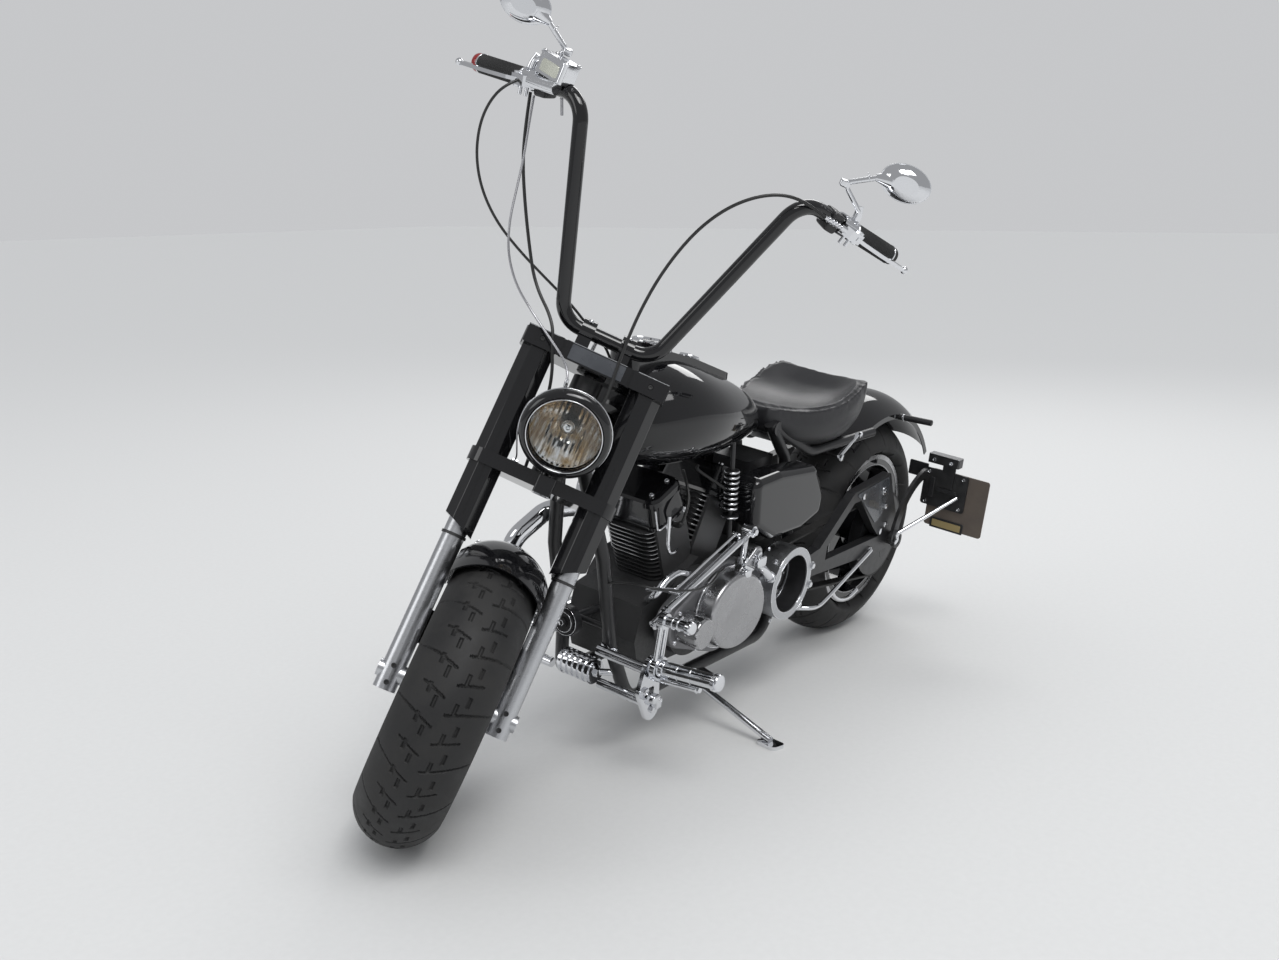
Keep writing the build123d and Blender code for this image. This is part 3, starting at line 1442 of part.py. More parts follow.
steering = [
    "fork_sliders", "fork_covers", "fork_clamps", "handlebar", "grips", "clutch_lever",
    "brake_lever", "mirrors", "headlight_shell", "headlight_rim", "headlight_glass",
    "front_mudguard", "front_calipers", "control_cables",
]
front_turning = ["front_tyre", "front_wheel", "front_discs"]
os.makedirs("parts", exist_ok=True)
finished = {"side_stand": stand.part}
for name, piece in pieces.items():
    place = parked.location
    if name in steering + front_turning:
        place = parked.location * steered.location
    finished[name] = piece.moved(place)
for name, piece in finished.items():
    piece.label = name
    export_step(piece, f"parts/{name}.step")
whole = Compound(children=list(finished.values()))
print("box", whole.bounding_box().min, whole.bounding_box().max, whole.bounding_box().center())
print("pitch", low_pitch, "height", floor_height)
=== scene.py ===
import bmesh
import bpy
import json
import numpy as np
from mathutils import Matrix, Vector


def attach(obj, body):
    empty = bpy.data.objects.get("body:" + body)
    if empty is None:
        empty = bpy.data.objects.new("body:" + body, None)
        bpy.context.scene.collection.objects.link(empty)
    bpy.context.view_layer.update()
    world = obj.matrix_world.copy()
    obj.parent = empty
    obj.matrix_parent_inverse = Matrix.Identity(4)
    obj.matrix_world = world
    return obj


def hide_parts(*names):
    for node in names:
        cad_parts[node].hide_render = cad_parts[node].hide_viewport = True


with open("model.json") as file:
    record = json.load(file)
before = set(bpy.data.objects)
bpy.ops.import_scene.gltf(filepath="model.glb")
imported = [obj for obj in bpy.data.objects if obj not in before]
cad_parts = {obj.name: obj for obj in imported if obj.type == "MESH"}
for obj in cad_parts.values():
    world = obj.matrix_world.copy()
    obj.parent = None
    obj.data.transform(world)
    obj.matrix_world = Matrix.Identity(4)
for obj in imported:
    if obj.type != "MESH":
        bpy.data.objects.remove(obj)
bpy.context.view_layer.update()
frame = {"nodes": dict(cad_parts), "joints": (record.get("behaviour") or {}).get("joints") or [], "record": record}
nodes = frame["nodes"]
joints = {joint["name"]: joint for joint in frame["joints"]}
print("frame loaded:", len(nodes), "nodes")

# The machine is modelled upright and straight ahead, x forward, y to its left, z up, with its
# origin under the rear axle. upright() and steered() take such points to where they are parked.
machine = {
    "rake": np.radians(30.7),
    "stopAngle": np.radians(37.5),
    "wheelbase": 1.69,
    "frontRadius": 0.317,
    "rearRadius": 0.329,
    "legHalf": 0.123,
    "coverTop": 0.727,
    "clampHigh": 0.04,
}


def unit(way):
    way = np.asarray(way, float)
    return way / np.linalg.norm(way)


leftWay = unit(joints["rear_wheel_spin"]["axis"])
steerWay = unit(joints["steering_turn"]["axis"])
steerFoot = np.array(joints["steering_turn"]["pos_m"])
rearHub = np.array(joints["rear_wheel_spin"]["pos_m"])
acrossWay = np.cross(leftWay, steerWay)
foreWay = np.cos(machine["rake"]) * acrossWay - np.sin(machine["rake"]) * steerWay
upWay = np.sin(machine["rake"]) * acrossWay + np.cos(machine["rake"]) * steerWay
machineAxes = np.stack([foreWay, leftWay, upWay])


def upright(points):
    # a point is the rear hub plus its parts along the leaning machine's three ways
    return rearHub + (np.asarray(points, float) - [0, 0, machine["rearRadius"]]) @ machineAxes


def turnMatrix(way, angle):
    # Rodrigues: cosine share of the identity, sine share of the cross matrix, rest along the way
    x, y, z = way
    cross = np.array([[0, -z, y], [z, 0, -x], [-y, x, 0]])
    return np.eye(3) + np.sin(angle) * cross + (1 - np.cos(angle)) * cross @ cross


steerTurn = turnMatrix(steerWay, machine["stopAngle"])


def steered(points):
    # the same, then turned about the steering axis to its left stop
    return steerFoot + (upright(points) - steerFoot) @ steerTurn.T


forkAhead = np.array([np.cos(machine["rake"]), 0, np.sin(machine["rake"])])
forkUp = np.array([-np.sin(machine["rake"]), 0, np.cos(machine["rake"])])
sideways = np.array([0.0, 1.0, 0.0])
frontHub = np.array([machine["wheelbase"], 0, machine["frontRadius"]])
backHub = np.array([0, 0, machine["rearRadius"]])


def inFork(ahead, left, up):
    return frontHub + ahead * forkAhead + left * sideways + up * forkUp


# Shapes


def finishMesh(name, points, faces, material, body, place):
    # merged, turned outwards, and smooth but for edges over 38 degrees
    mesh = bpy.data.meshes.new(name)
    mesh.from_pydata(place(points).tolist(), [], faces)
    shape = bmesh.new()
    shape.from_mesh(mesh)
    bmesh.ops.remove_doubles(shape, verts=shape.verts, dist=1e-6)
    bmesh.ops.recalc_face_normals(shape, faces=shape.faces)
    shape.to_mesh(mesh)
    shape.free()
    mesh.shade_smooth()
    mesh.set_sharp_from_angle(angle=np.radians(38))
    piece = bpy.data.objects.new(name, mesh)
    bpy.context.scene.collection.objects.link(piece)
    mesh.materials.append(material)
    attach(piece, body)
    return piece


def gridFaces(rows, columns, wrapRows=False, wrapColumns=False, start=0):
    # quads of a rows by columns grid of points, wrapping where it closes on itself
    row = np.arange(rows if wrapRows else rows - 1)
    column = np.arange(columns if wrapColumns else columns - 1)
    r, c = np.meshgrid(row, column, indexing="ij")
    r2, c2 = (r + 1) % rows, (c + 1) % columns
    quads = np.stack([r * columns + c, r2 * columns + c, r2 * columns + c2, r * columns + c2], -1)
    return (quads.reshape(-1, 4) + start).tolist()


def joinShapes(shapes):
    # one list of points and faces out of several
    points, faces, start = [], [], 0
    for shapePoints, shapeFaces in shapes:
        points.append(shapePoints)
        faces += [[index + start for index in face] for face in shapeFaces]
        start += len(shapePoints)
    return np.concatenate(points), faces


def axesAbout(way):
    way = unit(way)
    helper = np.array([0, 0, 1.0]) if abs(way[2]) < 0.9 else np.array([1.0, 0, 0])
    first = unit(np.cross(helper, way))
    return first, np.cross(way, first), way


def endFaces(rows, columns):
    # the first and the last row of a grid, each as one face
    return [list(range(columns)), list(range((rows - 1) * columns, rows * columns))[::-1]]


def turned(profile, centre, way, steps):
    # each (radius, height) pair goes round: radius times cosine and sine across, height along the way
    first, second, along = axesAbout(way)
    radius, height = np.array(profile, float).T
    angle = np.linspace(0, 2 * np.pi, steps, endpoint=False)
    spoke = np.cos(angle)[:, None] * first + np.sin(angle)[:, None] * second
    points = centre + radius[:, None, None] * spoke + height[:, None, None] * along
    return points.reshape(-1, 3)


def lathe(profile, centre, way, steps=48):
    # a turned profile, with a flat face at each end that doesn't run in to a point
    faces = gridFaces(len(profile), steps, wrapColumns=True)
    ends = zip((profile[0][0], profile[-1][0]), endFaces(len(profile), steps))
    faces += [face for radius, face in ends if radius > 1e-6]
    return turned(profile, centre, way, steps), faces


def smoothLine(points, count):
    # Catmull-Rom: each span blends its two ends and their neighbours by cubic weights
    points = np.asarray(points, float)
    padded = np.vstack([2 * points[0] - points[1], points, 2 * points[-1] - points[-2]])
    share = np.linspace(0, len(points) - 1, count)
    span = np.minimum(share.astype(int), len(points) - 2)
    t = (share - span)[:, None]
    a, b, c, d = (padded[span + k] for k in range(4))
    square, cube = 2 * a - 5 * b + 4 * c - d, 3 * b - a - 3 * c + d
    return 0.5 * (2 * b + (c - a) * t + square * t**2 + cube * t**3)


def alongPath(path, radius, sides=16, flat=1.0, upHint=None):
    # a circle, or an ellipse, carried along a path and turned with it, closed at both ends
    path = np.asarray(path, float)
    radius = np.broadcast_to(radius, len(path))
    ways = np.gradient(path, axis=0)
    ways /= np.linalg.norm(ways, axis=1)[:, None]
    first = axesAbout(ways[0])[0] if upHint is None else unit(np.cross(upHint, ways[0]))
    rings = []
    angle = np.linspace(0, 2 * np.pi, sides, endpoint=False)
    for point, way, size in zip(path, ways, radius):
        first = unit(first - way * (first @ way))
        second = np.cross(way, first)
        ring = np.cos(angle)[:, None] * first + flat * np.sin(angle)[:, None] * second
        rings.append(point + size * ring)
    points = np.concatenate(rings)
    return points, gridFaces(len(path), sides, wrapColumns=True) + endFaces(len(path), sides)


def straightRod(start, end, radius, edge=0.0006, sides=24):
    # a rod with small chamfers at both ends
    start, end = np.asarray(start, float), np.asarray(end, float)
    length = np.linalg.norm(end - start)
    profile = [(radius - edge, 0), (radius, edge), (radius, length - edge), (radius - edge, length)]
    return lathe(profile, start, end - start, sides)


def roundedBlock(centre, half, ways=np.eye(3), square=0.25, steps=20):
    # superellipsoid: each coordinate is a power of a sine or cosine, so low powers give flat sides
    bend = lambda value: np.sign(value) * np.abs(value) ** square
    u = np.linspace(-np.pi / 2, np.pi / 2, steps)
    v = np.linspace(-np.pi, np.pi, 2 * steps, endpoint=False)
    U, V = np.meshgrid(u, v, indexing="ij")
    level = bend(np.cos(U))
    local = np.stack([level * bend(np.cos(V)), level * bend(np.sin(V)), bend(np.sin(U))], -1)
    points = centre + (local * half) @ np.asarray(ways)
    return points.reshape(-1, 3), gridFaces(steps, 2 * steps, wrapColumns=True)


def cutPlate(outline, thick, centre, ways, bevel=0.0008):
    # an outline in the plane of the first two ways, given depth along the third, edges bevelled
    outline = np.asarray(outline, float)
    before, after = np.roll(outline, 1, 0), np.roll(outline, -1, 0)
    tangent = after - before
    normal = np.stack([tangent[:, 1], -tangent[:, 0]], 1)
    normal /= np.linalg.norm(normal, axis=1)[:, None]
    turn = np.sum(outline[:, 0] * np.roll(outline[:, 1], -1) - outline[:, 1] * np.roll(outline[:, 0], -1))
    normal *= np.sign(turn)
    levels = [(-thick / 2, bevel), (-thick / 2 + bevel, 0), (thick / 2 - bevel, 0), (thick / 2, bevel)]
    rings = []
    for height, inset in levels:
        flat = outline - normal * inset
        rings.append(centre + flat[:, :1] * ways[0] + flat[:, 1:] * ways[1] + height * np.asarray(ways[2]))
    return np.concatenate(rings), gridFaces(4, len(outline), wrapColumns=True) + endFaces(4, len(outline))


def roundCorners(corners, radius, steps=6):
    # each corner becomes a quadratic curve that touches both its sides
    corners = np.asarray(corners, float)
    out = []
    for before, corner, after in zip(np.roll(corners, 1, 0), corners, np.roll(corners, -1, 0)):
        inWay, outWay = unit(before - corner), unit(after - corner)
        half = np.arccos(np.clip(inWay @ outWay, -1, 1)) / 2
        shorter = min(np.linalg.norm(before - corner), np.linalg.norm(after - corner))
        reach = min(radius / np.tan(half), 0.45 * shorter)
        start, end = corner + inWay * reach, corner + outWay * reach
        share = np.linspace(0, 1, steps)[:, None]
        out.append((1 - share) ** 2 * start + 2 * share * (1 - share) * corner + share**2 * end)
    return np.concatenate(out)


def socketHead(centre, way, radius=0.005, high=0.005):
    # cap screw: a turned head with a round socket sunk in, as shares of its radius and height
    profile = [(0.98, 0), (1, 0.15), (1, 0.82), (0.88, 1), (0.56, 1), (0.5, 0.92), (0.5, 0.4), (0, 0.36)]
    return lathe([(radius * wide, high * up) for wide, up in profile], centre, way, 18)


def hexHead(centre, way, radius=0.009, high=0.007):
    # six-sided nut with a domed top
    profile = [(1, 0), (1, 0.8), (0.86, 1), (0.4, 1.08), (0, 1.1)]
    return lathe([(radius * wide, high * up) for wide, up in profile], centre, way, 6)


# Materials


def newMaterial(name):
    material = bpy.data.materials.new(name)
    material.use_nodes = True
    tree = material.node_tree
    shader = tree.nodes["Principled BSDF"]
    return material, tree, shader


def addNode(tree, kind, **settings):
    made = tree.nodes.new(kind)
    for key, value in settings.items():
        if key in made.inputs:
            made.inputs[key].default_value = value
        else:
            setattr(made, key, value)
    return made


def objectPlace(tree, stretch=(1, 1, 1)):
    coordinates = addNode(tree, "ShaderNodeTexCoord")
    mapping = addNode(tree, "ShaderNodeMapping")
    mapping.inputs["Scale"].default_value = stretch
    tree.links.new(coordinates.outputs["Object"], mapping.inputs["Vector"])
    return mapping.outputs["Vector"]


def noiseOn(tree, place, scale, detail=4.0, roughness=0.55):
    noise = addNode(tree, "ShaderNodeTexNoise")
    noise.inputs["Scale"].default_value = scale
    noise.inputs["Detail"].default_value = detail
    noise.inputs["Roughness"].default_value = roughness
    tree.links.new(place, noise.inputs["Vector"])
    return noise.outputs["Fac"]


def spread(tree, value, low, high, fromLow=0.3, fromHigh=0.7):
    # stretches a value's middle range to two new ends
    span = addNode(tree, "ShaderNodeMapRange")
    span.inputs["From Min"].default_value = fromLow
    span.inputs["From Max"].default_value = fromHigh
    span.inputs["To Min"].default_value = low
    span.inputs["To Max"].default_value = high
    tree.links.new(value, span.inputs["Value"])
    return span.outputs["Result"]


def mixColours(tree, share, first, second):
    mix = addNode(tree, "ShaderNodeMix", data_type="RGBA")
    mix.inputs["A"].default_value = (*first, 1)
    mix.inputs["B"].default_value = (*second, 1)
    tree.links.new(share, mix.inputs["Factor"])
    return mix.outputs["Result"]


def feed(tree, shader, colour, roughness, metallic=0.0):
    tree.links.new(colour, shader.inputs["Base Color"])
    tree.links.new(roughness, shader.inputs["Roughness"])
    shader.inputs["Metallic"].default_value = metallic


def bumpOn(tree, shader, height, strength, distance):
    bump = addNode(tree, "ShaderNodeBump")
    bump.inputs["Strength"].default_value = strength
    bump.inputs["Distance"].default_value = distance
    tree.links.new(height, bump.inputs["Height"])
    tree.links.new(bump.outputs["Normal"], shader.inputs["Normal"])


finishes = {
    # name: base colour, second colour, metallic, roughness low, high, noise scale, bump, coat
    "glossBlack": ((0.004, 0.004, 0.0045), (0.008, 0.008, 0.009), 0, 0.04, 0.1, 30, 0.02, 0.25),
    "satinBlack": ((0.012, 0.012, 0.013), (0.02, 0.02, 0.021), 0, 0.28, 0.4, 160, 0.12, 0.0),
    "wrinkleBlack": ((0.016, 0.016, 0.017), (0.03, 0.03, 0.03), 0, 0.42, 0.6, 420, 0.35, 0.0),
    "chrome": ((0.82, 0.83, 0.85), (0.74, 0.75, 0.78), 1, 0.03, 0.11, 26, 0.015, 0.0),
    "satinChrome": ((0.62, 0.62, 0.63), (0.54, 0.54, 0.55), 1, 0.16, 0.26, 40, 0.03, 0.0),
    "castGrey": ((0.17, 0.17, 0.175), (0.25, 0.25, 0.26), 0.8, 0.38, 0.55, 300, 0.22, 0.0),
    "darkCast": ((0.06, 0.06, 0.062), (0.1, 0.1, 0.1), 0.7, 0.36, 0.5, 300, 0.18, 0.0),
    "darkMetal": ((0.05, 0.05, 0.052), (0.09, 0.09, 0.09), 0.9, 0.3, 0.5, 120, 0.1, 0.0),
    "discSteel": ((0.5, 0.5, 0.51), (0.38, 0.38, 0.39), 1, 0.2, 0.34, 60, 0.04, 0.0),
    "gripRubber": ((0.013, 0.013, 0.013), (0.022, 0.022, 0.022), 0, 0.55, 0.7, 300, 0.15, 0.0),
    "beltRubber": ((0.012, 0.012, 0.012), (0.024, 0.023, 0.022), 0, 0.5, 0.7, 150, 0.2, 0.0),
    "cableSilver": ((0.5, 0.5, 0.52), (0.36, 0.36, 0.38), 0.9, 0.24, 0.36, 200, 0.05, 0.0),
    "cableBlack": ((0.01, 0.01, 0.01), (0.018, 0.018, 0.018), 0, 0.3, 0.42, 200, 0.05, 0.0),
    "plateBack": ((0.17, 0.14, 0.115), (0.1, 0.085, 0.075), 0.4, 0.35, 0.55, 60, 0.05, 0.0),
    "plateFace": ((0.72, 0.72, 0.7), (0.64, 0.64, 0.62), 0, 0.3, 0.42, 60, 0.03, 0.3),
    "dialFace": ((0.62, 0.62, 0.6), (0.55, 0.55, 0.53), 0, 0.35, 0.5, 80, 0.02, 0.5),
    # paintedSheen: dark slate-blue base colour, a painted sky sheen on gloss black faces
    "paintedSheen": ((0.05, 0.055, 0.063), (0.075, 0.08, 0.09), 0.5, 0.2, 0.32, 60, 0.03, 0.6),
    "mirrorGlass": ((0.9, 0.91, 0.92), (0.86, 0.87, 0.89), 1, 0.01, 0.04, 12, 0.004, 0.0),
    # paintedJarReflection: pale greenish base colour, a painted reflection on the jar's flat front face
    "paintedJarReflection": ((0.66, 0.67, 0.58), (0.58, 0.59, 0.52), 0.7, 0.12, 0.2, 60, 0.02, 0.3),
    "tagOchre": ((0.3, 0.24, 0.11), (0.24, 0.18, 0.08), 0, 0.35, 0.5, 90, 0.05, 0.0),
    "redLens": ((0.24, 0.008, 0.008), (0.17, 0.004, 0.004), 0, 0.06, 0.12, 40, 0.02, 0.6),
    "amberLens": ((0.45, 0.14, 0.01), (0.36, 0.1, 0.006), 0, 0.08, 0.14, 40, 0.02, 0.6),
}


def makeFinish(name):
    first, second, metallic, low, high, scale, bump, coat = finishes[name]
    material, tree, shader = newMaterial(name)
    place = objectPlace(tree)
    broad = noiseOn(tree, place, scale * 0.35, 5.0)
    fine = noiseOn(tree, place, scale * 3.0, 3.0)
    feed(tree, shader, mixColours(tree, broad, first, second), spread(tree, broad, low, high), metallic)
    shader.inputs["Coat Weight"].default_value = coat
    shader.inputs["Coat Roughness"].default_value = 0.04
    bumpOn(tree, shader, fine, bump, 0.0006)
    return material


look = {name: makeFinish(name) for name in finishes}


def makeBrushedAlloy():
    # fine level lines, from noise pressed flat along z, over a satin base
    material, tree, shader = newMaterial("brushedAlloy")
    lines = noiseOn(tree, objectPlace(tree, (1, 1, 14)), 90.0, 6.0, 0.7)
    soft = noiseOn(tree, objectPlace(tree), 18.0, 3.0)
    satin = mixColours(tree, soft, (0.6, 0.61, 0.63), (0.52, 0.53, 0.55))
    feed(tree, shader, satin, spread(tree, lines, 0.24, 0.4), 1.0)
    bumpOn(tree, shader, lines, 0.08, 0.0004)
    return material


def makeTyreRubber():
    # black rubber, greyer with dust where broad noise is high
    material, tree, shader = newMaterial("tyreRubber")
    place = objectPlace(tree)
    dust = noiseOn(tree, place, 14.0, 6.0, 0.65)
    fine = noiseOn(tree, place, 900.0, 2.0)
    dusty = mixColours(tree, spread(tree, dust, 0, 1, 0.4, 0.75), (0.008, 0.008, 0.0085), (0.021, 0.02, 0.019))
    feed(tree, shader, dusty, spread(tree, dust, 0.5, 0.78))
    bumpOn(tree, shader, fine, 0.3, 0.0004)
    return material


def makeLeather():
    # small irregular cells: bump rises with the distance from the nearest crease
    material, tree, shader = newMaterial("seatLeather")
    place = objectPlace(tree)
    cells = addNode(tree, "ShaderNodeTexVoronoi", feature="DISTANCE_TO_EDGE")
    cells.inputs["Scale"].default_value = 420.0
    tree.links.new(place, cells.inputs["Vector"])
    broad = noiseOn(tree, place, 9.0, 4.0)
    grain = spread(tree, cells.outputs["Distance"], 0, 1, 0.0, 0.2)
    hide = mixColours(tree, broad, (0.012, 0.012, 0.014), (0.022, 0.022, 0.024))
    feed(tree, shader, hide, spread(tree, broad, 0.3, 0.42))
    bumpOn(tree, shader, grain, 0.28, 0.0004)
    return material


def makeClearGlass():
    # thin glass: light goes straight through, with a mirror share that grows at grazing angles
    material, tree, shader = newMaterial("clearGlass")
    place = objectPlace(tree)
    smear = noiseOn(tree, place, 26.0, 3.0)
    clear = addNode(tree, "ShaderNodeBsdfTransparent")
    clear.inputs["Color"].default_value = (0.93, 0.94, 0.94, 1)
    shader.inputs["Base Color"].default_value = (0.9, 0.92, 0.93, 1)
    shader.inputs["Metallic"].default_value = 1.0
    tree.links.new(spread(tree, smear, 0.01, 0.06), shader.inputs["Roughness"])
    grazing = addNode(tree, "ShaderNodeFresnel")
    grazing.inputs["IOR"].default_value = 1.4
    mix = addNode(tree, "ShaderNodeMixShader")
    tree.links.new(grazing.outputs["Fac"], mix.inputs["Fac"])
    tree.links.new(clear.outputs["BSDF"], mix.inputs[1])
    tree.links.new(shader.outputs["BSDF"], mix.inputs[2])
    tree.links.new(mix.outputs["Shader"], tree.nodes["Material Output"].inputs["Surface"])
    return material


def makeReflector():
    # bright metal with warm patches where noise is high
    material, tree, shader = newMaterial("lampReflector")
    place = objectPlace(tree)
    patches = noiseOn(tree, place, 22.0, 3.0)
    warm = mixColours(tree, spread(tree, patches, 0, 1, 0.42, 0.6), (0.86, 0.86, 0.87), (0.5, 0.36, 0.2))
    feed(tree, shader, warm, spread(tree, patches, 0.05, 0.16), 1.0)
    return material


for make in (makeBrushedAlloy, makeTyreRubber, makeLeather, makeClearGlass, makeReflector):
    material = make()
    look[material.name] = material

slotLooks = {
    "tyre": "tyreRubber", "wheel_black": "glossBlack", "disc_steel": "discSteel", "satin_black": "satinBlack",
    "gloss_black": "glossBlack", "satin_alloy": "brushedAlloy", "satin_chrome": "satinChrome", "chrome": "chrome",
    "engine_black": "wrinkleBlack", "engine_grey": "castGrey", "grip_rubber": "gripRubber",
    "belt_rubber": "beltRubber", "seat_leather": "seatLeather", "lamp_glass": "clearGlass", "lamp_red": "redLens",
    "plate_blank": "plateBack", "cable_black": "cableBlack",
}
nodeLooks = {
    "rocker_boxes": "glossBlack", "tail_lamp": "darkMetal", "fork_clamps": "glossBlack", "spring_strut": "satinBlack",
    "primary_covers": "discSteel", "plate_carrier": "darkMetal", "cylinders": "darkCast", "handlebar": "glossBlack",
    "swingarm": "satinBlack",
}
for part in frame["record"]["subparts"]:
    shape = nodes[part["node"]]
    shape.data.materials.clear()
    shape.data.materials.append(look[nodeLooks.get(part["node"], slotLooks[part["material_slot"]])])
print("materials:", len(look))

# Tyres: a round crown and sidewalls on a grid of turn and profile, grooves cut by lowering points
tyres = {
    "front": {"hub": frontHub, "radius": 0.317, "half": 0.088, "crown": 0.094, "seat": 0.062, "blocks": 34},
    "rear": {"hub": backHub, "radius": 0.329, "half": 0.102, "crown": 0.108, "seat": 0.074, "blocks": 36},
    "bead": 0.228,
    "wallBow": 0.012,
    "grooveDeep": 0.0042,
    "grooveHalf": 0.0022,
    "grooveSlant": 0.55,
    "grooveStart": 0.08,
    "grooveEnds": (0.98, 0.62),
    "rib": 0.34,
    "ribShift": 0.1,
    "ribLong": 0.36,
    "around": 1080,
    "across": 60,
    "wallRows": 12,
}


def tyreShape(spec):
    # crown: a circle arc; sidewall: a bowed line in to the bead; both as functions of one share
    half, crown, radius = spec["half"], spec["crown"], spec["radius"]
    edgeDrop = crown - np.sqrt(crown**2 - half**2)
    side = np.linspace(-1, 1, tyres["across"]) * half
    height = radius - crown + np.sqrt(crown**2 - side**2)
    share = np.linspace(0, 1, tyres["wallRows"] + 1)[1:]
    wallTop, wallLow = radius - edgeDrop, tyres["bead"]
    wallSide = half + (spec["seat"] - half) * share + tyres["wallBow"] * np.sin(np.pi * share)
    wallHigh = wallTop + (wallLow - wallTop) * share
    across = np.concatenate([-wallSide[::-1], side, wallSide])
    high = np.concatenate([wallHigh[::-1], height, wallHigh])
    angle = np.linspace(0, 2 * np.pi, tyres["around"], endpoint=False)
    A, S = np.meshgrid(angle, across, indexing="ij")
    # grooves: distance to slanted lines, long and short in turn, half a block apart on the two sides
    pitch = 2 * np.pi / spec["blocks"]
    share = np.abs(S) / half
    slant = A / pitch + tyres["grooveSlant"] * share + np.where(S > 0, 0.5, 0)
    toLine = np.abs((slant % 1) - 0.5) * pitch * radius
    longEnd, shortEnd = tyres["grooveEnds"]
    reach = np.where(np.floor(slant) % 2 == 0, longEnd, shortEnd)
    slanted = (toLine < tyres["grooveHalf"]) & (share > tyres["grooveStart"]) & (share < reach)
    # short ribs along the tread, whose place shifts from block to block
    rib = tyres["rib"] + tyres["ribShift"] * np.sign(np.sin(A / pitch * np.pi * 2))
    ribs = np.abs(share - rib) * half < tyres["grooveHalf"] * 0.8
    ribs &= np.abs(((A / pitch) % 1) - 0.5) < tyres["ribLong"]
    H = np.broadcast_to(high, A.shape) - tyres["grooveDeep"] * (slanted | ribs) * (share < 1.0)
    points = np.stack([H * np.sin(A), S, H * np.cos(A)], -1) + spec["hub"]
    # the grid wraps, so a last row of faces closes the shape from bead to bead
    return points.reshape(-1, 3), gridFaces(tyres["around"], len(across), wrapRows=True, wrapColumns=True)


def makeTyre(name, place, body):
    points, faces = tyreShape(tyres[name])
    piece = finishMesh(name + "_tyre_tread", points, faces, look["tyreRubber"], body, place)
    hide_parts(name + "_tyre")


makeTyre("front", steered, "front_wheel_set")
makeTyre("rear", upright, "rear_wheel_set")
print("tyres made")

# Control cables and hose: smooth lines led by points along their routes, all held by the steering
cables = {
    "throttle_cable": {"diameter": 0.006, "finish": "cableBlack", "points": [
        (1.1842, -0.383, 1.4138), (1.204, -0.404, 1.396), (1.214, -0.42, 1.352), (1.22, -0.42, 1.3),
        (1.226, -0.402, 1.24), (1.232, -0.366, 1.184), (1.236, -0.312, 1.136), (1.238, -0.246, 1.101),
        (1.24, -0.176, 1.072), (1.241, -0.104, 1.044), (1.241, -0.042, 1.01), (1.25, 0.012, 0.988),
        (1.261, 0.037, 0.956)]},
    "lamp_cable": {"diameter": 0.005, "finish": "cableSilver", "points": [
        (1.164, -0.345, 1.394), (1.186, -0.33, 1.338), (1.212, -0.312, 1.278), (1.246, -0.298, 1.22),
        (1.282, -0.284, 1.162), (1.304, -0.26, 1.104), (1.316, -0.22, 1.054), (1.326, -0.17, 1.02),
        (1.354, -0.124, 1.000), (1.386, -0.082, 0.984), (1.414, -0.056, 0.974), (1.438, -0.041, 0.956),
        (1.444, -0.037, 0.936)]},
    "brake_hose": {"diameter": 0.007, "finish": "cableBlack", "points": [
        (1.158, -0.355, 1.396), (1.18, -0.338, 1.338), (1.204, -0.312, 1.268), (1.228, -0.274, 1.198),
        (1.25, -0.232, 1.128), (1.272, -0.186, 1.058), (1.332, -0.118, 1.02), (1.36, -0.098, 0.978),
        (1.37, -0.074, 0.926), (1.376, -0.062, 0.868), (1.394, -0.056, 0.818), (1.428, -0.05, 0.78),
        (1.458, -0.046, 0.748)]},
    "clutch_cable": {"diameter": 0.007, "finish": "cableBlack", "points": [
        (1.231, 0.302, 1.433), (1.244, 0.256, 1.446), (1.256, 0.206, 1.444), (1.266, 0.158, 1.42),
        (1.276, 0.114, 1.378), (1.286, 0.08, 1.322), (1.294, 0.058, 1.258), (1.302, 0.044, 1.19),
        (1.31, 0.038, 1.12), (1.322, 0.038, 1.056), (1.346, 0.042, 1.000), (1.368, 0.046, 0.956),
        (1.388, 0.048, 0.922), (1.404, 0.044, 0.886)]},
}


def makeCable(name):
    spec = cables[name]
    line = bpy.data.curves.new(name, "CURVE")
    line.dimensions = "3D"
    spline = line.splines.new("NURBS")
    spline.points.add(len(spec["points"]) - 1)
    for knot, place in zip(spline.points, steered(spec["points"])):
        knot.co = (*place, 1)
    spline.order_u = 3
    spline.use_endpoint_u = True
    line.resolution_u = 10
    line.bevel_depth = spec["diameter"] / 2
    line.bevel_resolution = 5
    line.use_fill_caps = True
    line.materials.append(look[spec["finish"]])
    piece = bpy.data.objects.new(name, line)
    bpy.context.scene.collection.objects.link(piece)
    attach(piece, "steering")
    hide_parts("control_cables")


for name in cables:
    makeCable(name)
print("cables made")

# Saddle: nose, dish and raised back; sections from station to station, then filled like a cushion
saddle = {
    "ahead": (0.604, 0.58, 0.52, 0.44, 0.36, 0.29, 0.225, 0.196),
    "half": (0.045, 0.075, 0.11, 0.143, 0.158, 0.155, 0.138, 0.1),
    "rim": (0.784, 0.783, 0.774, 0.776, 0.792, 0.816, 0.828, 0.812),
    "dish": (0.786, 0.778, 0.762, 0.752, 0.754, 0.776, 0.816, 0.808),
    "low": (0.742, 0.706, 0.672, 0.654, 0.648, 0.65, 0.668, 0.706),
    "rows": 110,
    "around": 120,
    "noseRound": 0.05,
    "backRound": 0.11,
    "shrink": 0.004,
    "voxel": 0.006,
    "pressure": 4.0,
    "cap": 0.007,
    "steps": 16,
}


